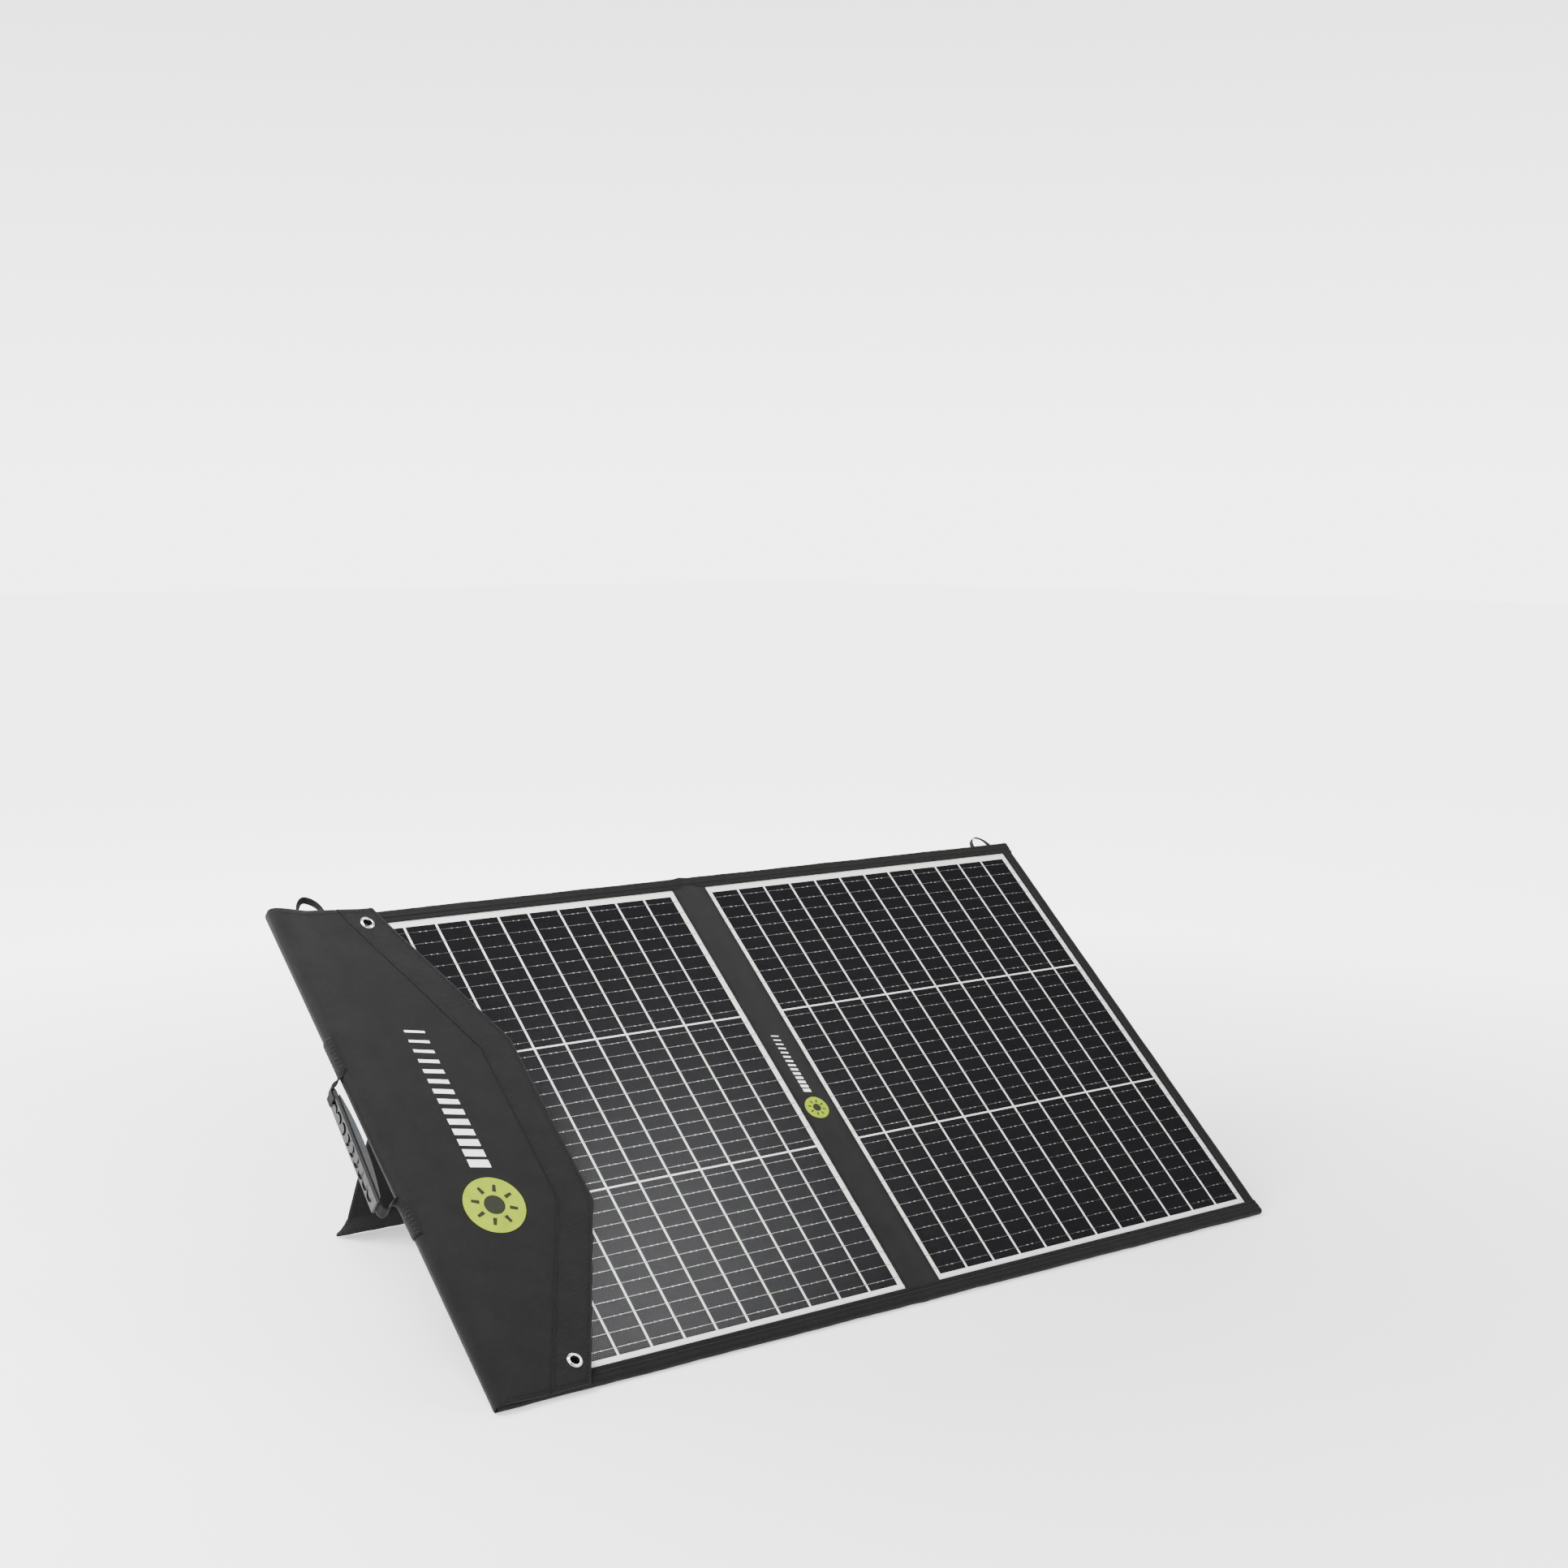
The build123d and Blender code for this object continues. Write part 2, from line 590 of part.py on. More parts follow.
# Loop tape on the outside of the right stand, where the closed flap lands.
with BuildPart() as flap_loop_strip:
    with BuildSketch(STAND.offset(STAND_T / 2)):
        with Locations((STAND_MIDDLE + STAND_W / 2 - 22, STAND_HINGE - BAG_HEIGHT / 2)):
            Rectangle(25, 180)
    extrude(amount=0.6)
write(flap_loop_strip, "flap_loop_strip")

# ---- junction box ------------------------------------------------------------------------------
BOX_TOP = BACK - BOX_BASE

with BuildPart() as junction_box_base:
    with BuildSketch(PANEL.offset(BOX_TOP)):
        with Locations((BOX_X, BOX_Y)):
            RectangleRounded(BOX_W, BOX_H, 6)
    extrude(amount=BOX_BASE)
    with BuildSketch(PANEL.offset(BOX_TOP)):
        with Locations((BOX_X, BOX_Y)):
            RectangleRounded(BOX_W - 2 * BOX_WALL, BOX_H - 2 * BOX_WALL, 4)
    extrude(amount=BOX_BASE - BOX_WALL, mode=Mode.SUBTRACT)
    with BuildSketch(PANEL.offset(BOX_TOP)):
        with Locations((BOX_X, BOX_Y)):
            with GridLocations(BOX_W - 14, BOX_H - 14, 2, 2):
                Circle(3.4)
    extrude(amount=BOX_BASE - BOX_WALL)
    with BuildSketch(PANEL.offset(BOX_TOP)):
        with Locations((BOX_X, BOX_Y)):
            with GridLocations(BOX_W - 14, BOX_H - 14, 2, 2):
                Circle(1.55)
    extrude(amount=9.0, mode=Mode.SUBTRACT)
    gland_hole = Plane(
        origin=PANEL.from_local_coords(Vector(BOX_X, BOX_Y - BOX_H / 2, BACK - BOX_BASE / 2 - 0.5)),
        x_dir=(1, 0, 0),
        z_dir=-PANEL.y_dir,
    )
    with BuildSketch(gland_hole):
        Circle(4.6)
    extrude(amount=-BOX_WALL - 1, mode=Mode.SUBTRACT)
write(junction_box_base, "junction_box_base")

with BuildPart() as junction_box_lid:
    with BuildSketch(PANEL.offset(BOX_TOP - BOX_LID)):
        with Locations((BOX_X, BOX_Y)):
            RectangleRounded(BOX_W, BOX_H, 6)
    extrude(amount=BOX_LID)
    rear_edges = junction_box_lid.faces().sort_by(Axis(PANEL.origin, PANEL.z_dir))[0].edges()
    chamfer(rear_edges, length=1.2)
    with BuildSketch(PANEL.offset(BOX_TOP - BOX_LID)):
        with Locations((BOX_X, BOX_Y)):
            with GridLocations(BOX_W - 14, BOX_H - 14, 2, 2):
                Circle(1.7)
    extrude(amount=BOX_LID, mode=Mode.SUBTRACT)
    with BuildSketch(PANEL.offset(BOX_TOP - BOX_LID)):
        with Locations((BOX_X, BOX_Y)):
            with GridLocations(BOX_W - 14, BOX_H - 14, 2, 2):
                Circle(3.2)
    extrude(amount=1.8, mode=Mode.SUBTRACT)
write(junction_box_lid, "junction_box_lid")

with BuildPart() as junction_box_screws:
    with BuildSketch(PANEL.offset(BOX_TOP - BOX_LID + 0.2)):
        with Locations((BOX_X, BOX_Y)):
            with GridLocations(BOX_W - 14, BOX_H - 14, 2, 2):
                Circle(2.9)
    extrude(amount=1.6)
    with BuildSketch(PANEL.offset(BOX_TOP - BOX_LID + 1.8)):
        with Locations((BOX_X, BOX_Y)):
            with GridLocations(BOX_W - 14, BOX_H - 14, 2, 2):
                Circle(1.5)
    extrude(amount=10.0)
    with BuildSketch(PANEL.offset(BOX_TOP - BOX_LID + 0.2)):
        with Locations((BOX_X, BOX_Y)):
            with GridLocations(BOX_W - 14, BOX_H - 14, 2, 2):
                Rectangle(3.2, 0.7)
                Rectangle(0.7, 3.2)
    extrude(amount=0.9, mode=Mode.SUBTRACT)
write(junction_box_screws, "junction_box_screws")

# Terminal rail and the two bypass diodes inside the box.
FLOOR = BACK - BOX_WALL
with BuildPart() as terminal_rail:
    with BuildSketch(PANEL.offset(FLOOR - 2.0)):
        with Locations((BOX_X, BOX_Y + 10)):
            Rectangle(50, 14)
    extrude(amount=2.0)
    with BuildSketch(PANEL.offset(FLOOR - 4.0)):
        with Locations((BOX_X, BOX_Y + 10)):
            with GridLocations(20, 1, 3, 1):
                Rectangle(8, 10)
    extrude(amount=2.0)
write(terminal_rail, "terminal_rail")

with BuildPart() as bypass_diodes:
    with BuildSketch(PANEL.offset(FLOOR - 8.0)):
        with Locations((BOX_X - 10, BOX_Y + 10), (BOX_X + 10, BOX_Y + 10)):
            Rectangle(14, 5.4)
    extrude(amount=4.0)
write(bypass_diodes, "bypass_diodes")

# Cable gland on the lower wall: a threaded body, a clamping nut and the seal inside it.
with BuildPart() as gland_body:
    with BuildSketch(gland_hole):
        Circle(GLAND_R)
    extrude(amount=3.0)
    with BuildSketch(gland_hole.offset(-BOX_WALL - 2)):
        Circle(4.5)
    extrude(amount=BOX_WALL + 2 + 14.0)
    with BuildSketch(gland_hole.offset(-BOX_WALL - 2)):
        Circle(GLAND_BORE_R)
    extrude(amount=BOX_WALL + 2 + 14.0, mode=Mode.SUBTRACT)
write(gland_body, "gland_body")

with BuildPart() as gland_nut:
    with BuildSketch(gland_hole.offset(3.4)):
        RegularPolygon(6.3, 6)
    extrude(amount=8.0)
    with BuildSketch(gland_hole.offset(11.4)):
        Circle(6.0)
    extrude(amount=4.0, taper=12)
    with BuildSketch(gland_hole.offset(3.4)):
        Circle(4.6)
    extrude(amount=11.0, mode=Mode.SUBTRACT)
    with BuildSketch(gland_hole.offset(14.4)):
        Circle(GLAND_BORE_R)
    extrude(amount=1.0, mode=Mode.SUBTRACT)
write(gland_nut, "gland_nut")
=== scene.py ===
"""Looks of the folding solar panel: fabric, seams, modules, flap, handle and stands.

Points are in millimetres in one of two places. PANEL: x from the middle of the spine, y up the
slope from the lower edge, z out of the module's face. A stand: x from its middle, y down from the
hinge, z out of its rear face.
"""

import json
import math

import bmesh
import bpy
import numpy as np
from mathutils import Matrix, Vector


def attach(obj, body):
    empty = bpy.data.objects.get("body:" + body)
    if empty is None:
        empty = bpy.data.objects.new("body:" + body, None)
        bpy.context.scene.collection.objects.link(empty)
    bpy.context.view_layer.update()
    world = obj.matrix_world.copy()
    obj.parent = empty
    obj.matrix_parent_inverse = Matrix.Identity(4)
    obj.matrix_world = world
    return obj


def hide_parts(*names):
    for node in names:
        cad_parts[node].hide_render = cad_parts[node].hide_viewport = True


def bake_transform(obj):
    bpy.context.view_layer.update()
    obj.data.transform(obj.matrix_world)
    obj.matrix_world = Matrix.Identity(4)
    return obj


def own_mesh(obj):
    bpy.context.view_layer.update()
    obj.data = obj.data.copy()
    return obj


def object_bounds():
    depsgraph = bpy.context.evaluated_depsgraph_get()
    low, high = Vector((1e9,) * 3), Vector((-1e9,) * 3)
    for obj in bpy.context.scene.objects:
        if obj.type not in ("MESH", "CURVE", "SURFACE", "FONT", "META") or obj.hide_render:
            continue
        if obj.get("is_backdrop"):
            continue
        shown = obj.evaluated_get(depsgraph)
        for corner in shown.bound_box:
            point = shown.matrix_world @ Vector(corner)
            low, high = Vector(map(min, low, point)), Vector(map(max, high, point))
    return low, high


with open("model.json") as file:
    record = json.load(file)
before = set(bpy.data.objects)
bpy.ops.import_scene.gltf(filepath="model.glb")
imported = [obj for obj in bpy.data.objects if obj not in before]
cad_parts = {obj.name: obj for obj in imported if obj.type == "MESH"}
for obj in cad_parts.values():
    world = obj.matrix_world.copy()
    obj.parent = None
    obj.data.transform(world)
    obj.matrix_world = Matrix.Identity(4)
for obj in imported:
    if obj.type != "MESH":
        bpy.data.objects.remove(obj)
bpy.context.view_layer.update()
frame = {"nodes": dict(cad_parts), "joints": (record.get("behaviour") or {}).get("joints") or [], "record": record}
MM = 0.001

# ---- camera ----
CAMERA_AT = (-1.5844, -2.1296, 0.8135)
CAMERA_WAY = (0.604, 0.789, -0.108)


def looking(name, data, centre, way):
    """A camera or light at a centre, facing along a way."""
    made = bpy.data.objects.new(name, data)
    made.location = centre
    made.rotation_mode = "QUATERNION"
    made.rotation_quaternion = Vector(way).to_track_quat("-Z", "Y")
    bpy.context.scene.collection.objects.link(made)
    return made


camera_data = bpy.data.cameras.new("camera")
camera_data.lens = 54.56
camera_data.sensor_width = 36.0
bpy.context.scene.camera = looking("camera", camera_data, CAMERA_AT, CAMERA_WAY)

# ---- places ----
joints = {j["name"]: j for j in frame["joints"]}
up = -Vector(joints["panel_fold"]["axis"])
out = Vector((0.0, -up.z, up.y))
PANEL_SLOPE = math.atan2(up.z, up.y)
STAND_SLOPE = math.radians(63.1)
HEIGHT = 600.0
SPINE = 47.0
SPINE_EDGE = SPINE / 2 + 0.3
WINDOW_W = 480.0
WINDOW_X, WINDOW_Y = SPINE / 2 + WINDOW_W / 2, 300.0
RIGHT_EDGE, LEFT_EDGE = 519.5, -526.5
BACK = -6.0
STAND_W = 260.0


def place(origin, y_axis, z_axis):
    """Matrix from millimetres in a place to metres in the frame."""
    matrix = np.eye(4)
    matrix[:3, 0] = (MM, 0, 0)
    matrix[:3, 1] = np.array(y_axis) * MM
    matrix[:3, 2] = np.array(z_axis) * MM
    matrix[:3, 3] = origin
    return matrix


# The fold of the spine is half the bag's height up the slope, and just above the face.
SPINE_UP, SPINE_OUT = HEIGHT / 2 * MM, 6.5 * MM
spine_point = Vector(joints["panel_fold"]["pos_m"])
PANEL = place(spine_point - up * SPINE_UP - out * SPINE_OUT, up, out)
stand_down = Vector((0.0, math.cos(STAND_SLOPE), -math.sin(STAND_SLOPE)))
stand_out = Vector((0.0, math.sin(STAND_SLOPE), math.cos(STAND_SLOPE)))
STANDS = {
    side: place(joints[f"{side}_stand_fold"]["pos_m"], stand_down, stand_out)
    for side in ("left", "right")
}


def moved(points, matrix):
    return np.asarray(points, float) @ matrix[:3, :3].T + matrix[:3, 3]


def seen_from_panel(points, matrix):
    """Points of another place, in the panel's millimetres."""
    return (moved(points, matrix) - PANEL[:3, 3]) @ np.linalg.inv(PANEL[:3, :3]).T


# ---- meshes ----
def add(name, points, faces, materials, matrix=PANEL, of_face=None, smooth=True):
    """A mesh piece from points in a place."""
    mesh = bpy.data.meshes.new(name)
    mesh.from_pydata(moved(points, matrix).tolist(), [], [list(map(int, f)) for f in faces])
    for one in materials if isinstance(materials, (list, tuple)) else [materials]:
        mesh.materials.append(one)
    if of_face is not None:
        mesh.polygons.foreach_set("material_index", np.asarray(of_face, np.int32))
    tidy = bmesh.new()
    tidy.from_mesh(mesh)
    bmesh.ops.recalc_face_normals(tidy, faces=tidy.faces)
    tidy.to_mesh(mesh)
    tidy.free()
    mesh.polygons.foreach_set("use_smooth", np.full(len(mesh.polygons), smooth))
    piece = bpy.data.objects.new(name, mesh)
    bpy.context.scene.collection.objects.link(piece)
    return piece


def grid(rows, columns, first=0):
    r, c = np.meshgrid(np.arange(rows - 1), np.arange(columns - 1), indexing="ij")
    a = first + r * columns + c
    return np.stack([a, a + 1, a + columns + 1, a + columns], -1).reshape(-1, 4)


def shell(outer, inner):
    """Points and faces of a closed sheet between two grids of points."""
    rows, columns = outer.shape[:2]
    count = rows * columns
    points = np.concatenate([outer.reshape(-1, 3), inner.reshape(-1, 3)])
    rim = np.concatenate(
        [
            np.arange(columns),
            columns - 1 + columns * np.arange(1, rows),
            count - 2 - np.arange(columns - 1),
            columns * np.arange(rows - 2, 0, -1),
        ]
    )
    after = np.roll(rim, -1)
    sides = np.stack([rim, rim + count, after + count, after], -1)
    faces = np.concatenate([grid(rows, columns), grid(rows, columns, count), sides])
    return points, faces


def normals(surface):
    n = np.cross(np.gradient(surface, axis=1), np.gradient(surface, axis=0))
    return n / np.maximum(np.linalg.norm(n, axis=-1, keepdims=True), 1e-9)


def ring_faces(n, k, loop=False):
    """Faces between n rings of k points, and from the last ring to the first where asked."""
    return [
        [i * k + j, i * k + (j + 1) % k, (i + 1) % n * k + (j + 1) % k, (i + 1) % n * k + j]
        for i in range(n if loop else n - 1)
        for j in range(k)
    ]


def circle(count):
    """Angles evenly round a circle."""
    return np.linspace(0, 2 * math.pi, count, endpoint=False)


def capped(n, k):
    """Faces of a bar of n rings of k points, closed at both ends."""
    return ring_faces(n, k) + [list(range(k)), list(range((n - 1) * k, n * k))]


# Share of a sheet's thickness at its outermost two rows of points.
RIM = ((0, 0.25), (1, 0.8))


def thick(surface, thickness):
    """A closed sheet round a grid of points, rounded at its rim."""
    half = np.broadcast_to(np.asarray(thickness, float) / 2, surface.shape[:2]).copy()
    for step, share in RIM:
        half[step] *= share
        half[-1 - step] *= share
        half[:, step] *= share
        half[:, -1 - step] *= share
    lift = normals(surface) * half[..., None]
    return shell(surface + lift, surface - lift)


def points_of(x, y, z):
    """Points from their coordinates, each a grid, a line or one number."""
    return np.stack(np.broadcast_arrays(x, y, z), -1)


def cloth(name, surface, thickness, material, matrix=PANEL):
    """A closed sheet as a piece, from the x, y and z of its middle surface."""
    return add(name, *thick(points_of(*surface), thickness), material, matrix)


def joined(parts):
    """Several (points, faces) as one."""
    points, faces, first = [], [], 0
    for p, f in parts:
        points.append(p)
        faces.extend([[i + first for i in face] for face in f])
        first += len(p)
    return np.concatenate(points), faces


def stations(low, high, step, *extra):
    """Places from low to high about a step apart, with close ones at both rims."""
    inside = np.linspace(low + 1.2, high - 1.2, max(2, round((high - low) / step)))
    ends = [low, low + 0.4, high - 0.4, high]
    return np.unique(np.round(np.concatenate([ends, inside, *extra]), 3))


def steps_of(line):
    return np.linalg.norm(np.diff(line, axis=0), axis=1)


def distances(line):
    """How far along a line each of its points is."""
    return np.concatenate([[0], np.cumsum(steps_of(line))])


def ridge(a, middle, width):
    """One at the middle, falling away to nothing within a few widths."""
    return np.exp(-(((a - middle) / width) ** 2))


def ripple(a, seed, wave):
    """A gentle, fixed unevenness of about one unit along a."""
    phases = np.random.default_rng(seed).uniform(0, 2 * math.pi, 5)
    return sum(
        np.sin(2 * math.pi * a * (k + 1) ** 1.2 / wave + phases[k]) / (k + 1) for k in range(5)
    ) / 1.6


def curve(points, count):
    """A smooth line through points, with count places evenly along it."""
    p = np.asarray(points, float)
    p = np.concatenate([[2 * p[0] - p[1]], p, [2 * p[-1] - p[-2]]])
    t = np.linspace(0, 1, 13)[:-1][:, None]
    runs = []
    for a, b, c, d in zip(p, p[1:], p[2:], p[3:]):
        squared = (2 * a - 5 * b + 4 * c - d) * t**2
        cubed = (3 * b - a - 3 * c + d) * t**3
        runs.append(0.5 * (2 * b + (c - a) * t + squared + cubed))
    line = np.concatenate([*runs, p[-2:-1]])
    gone = distances(line)
    wanted = np.linspace(0, gone[-1], count)
    return np.stack([np.interp(wanted, gone, line[:, k]) for k in range(line.shape[1])], -1)


def spine_blend(piece):
    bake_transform(piece)


def flap_blend(piece):
    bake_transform(piece)


def dress(piece, slot, *replaced, body=None):
    """Say what a piece rides on and which CAD nodes it replaces, if any. Its material slot is not used."""
    if body:
        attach(piece, body)
    if replaced:
        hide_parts(*replaced)


SPINE_STATIONS = np.linspace(-13, 13, 20)

# ---- materials ----


def put(tree, made, inputs):
    """Set a node's inputs to values, or link them from outputs."""
    for key, value in inputs.items():
        if isinstance(value, bpy.types.NodeSocket):
            tree.links.new(value, made.inputs[key])
        else:
            made.inputs[key].default_value = value


def node(tree, kind, inputs, **settings):
    made = tree.nodes.new("ShaderNode" + kind)
    for key, value in settings.items():
        setattr(made, key, value)
    put(tree, made, inputs)
    return made


def start(name, slope):
    """A material with its shader, and millimetres on a plane of that slope as its coordinates."""
    material = bpy.data.materials.new(name)
    material.use_nodes = True
    tree = material.node_tree
    tree.nodes.clear()
    shader = node(tree, "BsdfPrincipled", {})
    end = node(tree, "OutputMaterial", {"Surface": shader.outputs[0]})
    end.location = (400, 0)
    turn = {"Rotation": (-slope, 0, 0), "Scale": (1000, 1000, 1000)}
    flat = node(tree, "Mapping", {"Vector": node(tree, "TexCoord", {}).outputs["Object"], **turn})
    return material, tree, shader, flat.outputs[0]


def noise(tree, where, size, detail=3.0, roughness=0.55, stretch=None):
    """Noise with features of about that many millimetres."""
    if stretch:
        where = node(tree, "Mapping", {"Vector": where, "Scale": stretch}).outputs[0]
    inputs = {"Vector": where, "Scale": 1 / size, "Detail": detail, "Roughness": roughness}
    return node(tree, "TexNoise", inputs).outputs["Fac"]


def bands(tree, where, direction, pitch, distortion=0.6):
    inputs = {"Vector": where, "Scale": math.pi / 10 / pitch, "Distortion": distortion}
    inputs |= {"Detail": 2.0, "Detail Scale": 1.5}
    wave = node(tree, "TexWave", inputs, wave_type="BANDS", bands_direction=direction)
    return wave.outputs["Fac"]


def sums(tree, operation, a, b):
    return node(tree, "Math", {0: a, 1: b}, operation=operation).outputs[0]


def is_near(tree, a, b, reach):
    return node(tree, "Math", {0: a, 1: b, 2: reach}, operation="COMPARE").outputs[0]


def dot(tree, where, direction):
    """How far a place is along a direction, times the direction's own length."""
    inputs = {0: where, 1: direction}
    return node(tree, "VectorMath", inputs, operation="DOT_PRODUCT").outputs["Value"]


def spread(tree, factor, low, high, first=0.3, last=0.7):
    """A number that goes from low to high as the factor goes from first to last."""
    return node(tree, "MapRange", {0: factor, 1: first, 2: last, 3: low, 4: high}).outputs[0]


def shade(tree, factor, stops):
    ramp = node(tree, "ValToRGB", {0: factor})
    while len(ramp.color_ramp.elements) < len(stops):
        ramp.color_ramp.elements.new(0.5)
    for element, (position, colour) in zip(ramp.color_ramp.elements, stops):
        element.position = position
        element.color = (*colour, 1)
    return ramp.outputs[0]


def times(colour, k):
    return tuple(c * k for c in colour)


def mix(tree, factor, a, b):
    """A colour that goes from a to b with the factor."""
    colours = {1: a, 2: b}
    for key, value in colours.items():
        if isinstance(value, tuple):
            colours[key] = (*value, 1)
    return node(tree, "MixRGB", {0: factor, **colours}).outputs[0]


def bump(tree, height, strength, distance_mm, **normal):
    inputs = {"Height": height, "Strength": strength, "Distance": distance_mm * MM, **normal}
    return node(tree, "Bump", inputs).outputs[0]


def woven(
    name, colour, pitch=0.7, ribs="", rib_pitch=2.2, strength=0.5, sheen=0.05, slope=PANEL_SLOPE
):
    """Woven cloth: crossing threads with painted shade between them, mottling, light speckles and, where asked,
    ribs one way.
    """
    material, tree, shader, flat = start(name, slope)
    warp = bands(tree, flat, "X", pitch)
    weft = bands(tree, flat, "Y", pitch)
    threads = sums(tree, "MULTIPLY", warp, weft)
    speck = noise(tree, flat, 1.3, 3.0, 0.7)
    patch = noise(tree, flat, 28.0, 4.0)
    base = shade(tree, patch, [(0.3, times(colour, 0.82)), (0.7, times(colour, 1.18))])
    lit = mix(tree, spread(tree, speck, 0.0, 0.5, 0.5, 0.72), base, times(colour, 2.3))
    # Painted shade between the threads, where the weave is low.
    deep = spread(tree, threads, 0.35, 0.0, 0.0, 0.5)
    normal = bump(tree, threads, strength, 0.25)
    normal = bump(tree, speck, strength * 0.6, 0.25, Normal=normal)
    if ribs:
        long_way = (0.22, 1.0, 1.0) if ribs == "Y" else (1.0, 0.22, 1.0)
        uneven = noise(tree, flat, rib_pitch * 0.8, 2.0, 0.6, long_way)
        rows = bands(tree, flat, ribs, rib_pitch, 2.2)
        height = sums(tree, "MULTIPLY", rows, uneven)
        normal = bump(tree, height, strength, 0.7, Normal=normal)
    inputs = {
        "Base Color": mix(tree, deep, lit, times(colour, 0.4)),
        "Roughness": spread(tree, speck, 0.68, 0.9),
        "Sheen Weight": sheen,
        "Sheen Roughness": 0.45,
        "Specular IOR Level": 0.15,
        "Normal": normal,
    }
    put(tree, shader, inputs)
    return material


def moulded(name, colour, grain, roughness, strength=0.3):
    """Moulded plastic with a fine grain and slight wear."""
    material, tree, shader, flat = start(name, PANEL_SLOPE)
    fine = noise(tree, flat, grain, 3.0, 0.6)
    broad = noise(tree, flat, 18.0, 3.0)
    worn = shade(tree, broad, [(0.3, times(colour, 0.88)), (0.72, times(colour, 1.14))])
    flecks = spread(tree, fine, 0.0, 0.3, 0.52, 0.75)
    inputs = {
        "Base Color": mix(tree, flecks, worn, times(colour, 1.8)),
        "Roughness": spread(tree, fine, roughness - 0.08, roughness + 0.1),
        "Specular IOR Level": 0.3,
        "Normal": bump(tree, fine, strength, 0.15),
    }
    put(tree, shader, inputs)
    return material


def metal(name, colour, roughness, brushed=None):
    material, tree, shader, flat = start(name, PANEL_SLOPE)
    fine = noise(tree, flat, 0.7, 3.0, 0.6, brushed)
    broad = noise(tree, flat, 6.0, 2.0)
    inputs = {
        "Base Color": shade(tree, broad, [(0.3, times(colour, 0.9)), (0.7, times(colour, 1.05))]),
        "Metallic": 1.0,
        "Roughness": spread(tree, fine, roughness * 0.7, roughness * 1.5),
        "Normal": bump(tree, fine, 0.12, 0.05),
    }
    put(tree, shader, inputs)
    return material


EMBOSS = 2.55
ROW_PITCH = EMBOSS * math.sqrt(0.75)


def embossing(tree, where):
    """Close-packed rows of domes: 3 at their tops, down to -1.5 between them."""
    total = 0.0
    k = 2 * math.pi / ROW_PITCH
    for turn in map(math.radians, (30, 90, 150)):
        phase = dot(tree, where, (k * math.cos(turn), k * math.sin(turn), 0.0))
        total = sums(tree, "ADD", sums(tree, "COSINE", phase, 0.0), total)
    return total


def laminated(name, low, high, roughness, painted_dome_share, coat_roughness, painted_dome_tone):
    """A surface seen through the clear embossed film: small close-packed domes with a gloss, and a painted tone on
    the dome tops, a painted highlight on the cells and slightly darker on the white.
    """
    material, tree, shader, flat = start(name, PANEL_SLOPE)
    dome = spread(tree, embossing(tree, flat), 0.0, 1.0, -0.6, 2.6)
    broad = noise(tree, flat, 90.0, 2.0)
    strip = noise(tree, flat, 30.0, 1.0, 0.5, (1.0, 0.12, 1.0))
    tone = mix(tree, broad, low, high)
    tone = mix(tree, sums(tree, "MULTIPLY", strip, 0.35), tone, times(low, 0.7))
    # The tops of the domes, where the painted highlight goes.
    peak = sums(tree, "POWER", dome, 2.5)
    rough = spread(tree, noise(tree, flat, 2.0), roughness - 0.06, roughness + 0.1)
    normal = bump(tree, dome, 0.22, 0.2)
    inputs = {
        "Base Color": mix(tree, sums(tree, "MULTIPLY", peak, painted_dome_share), tone, painted_dome_tone),
        "Roughness": sums(tree, "ADD", rough, spread(tree, dome, 0.3, 0.0, 0.15, 0.5)),
        "Specular IOR Level": 0.12,
        "Coat Weight": spread(tree, dome, 0.03, 1.0, 0.2, 0.5),
        "Coat Roughness": coat_roughness,
        "Coat IOR": 1.4,
        "Normal": normal,
        "Coat Normal": normal,
    }
    put(tree, shader, inputs)
    return material


CHARCOAL = (0.0060, 0.0057, 0.0057)
bag_cloth = woven("bag_cloth", CHARCOAL)
# The spine's cover is the bag's cloth painted lighter: a painted sheen.
spine_cloth_painted_sheen = woven("spine_cloth_painted_sheen", times(CHARCOAL, 1.45))
band_cloth = woven("band_cloth", CHARCOAL, ribs="Y")
hem_cloth = woven("hem_cloth", times(CHARCOAL, 0.85), ribs="X", rib_pitch=1.6, strength=0.25)
# The stands' cloth is the bag's cloth painted near black: painted shade, as the stands sit in shadow.
stand_cloth_painted_shade = woven("stand_cloth_painted_shade", (0.0016, 0.0016, 0.0017), sheen=0.03, slope=-STAND_SLOPE)
webbing = woven("webbing", times(CHARCOAL, 0.6), 0.9, ribs="Y", rib_pitch=1.5, strength=0.9)
loop_tape = woven("loop_tape", times(CHARCOAL, 0.8), 0.6, ribs="X", rib_pitch=1.1)
hook_tape = woven("hook_tape", times(CHARCOAL, 0.7), 1.3, strength=1.0, sheen=0.25)
thread = woven("thread", (0.0015, 0.0015, 0.0016), 0.5)
pale_thread = woven("pale_thread", (0.03, 0.03, 0.03), 0.5)
CELL_TONES = (0.0010, 0.0010, 0.0019), (0.0018, 0.0018, 0.0028)
WHITE_TONES = (0.80, 0.80, 0.77), (0.86, 0.86, 0.83)
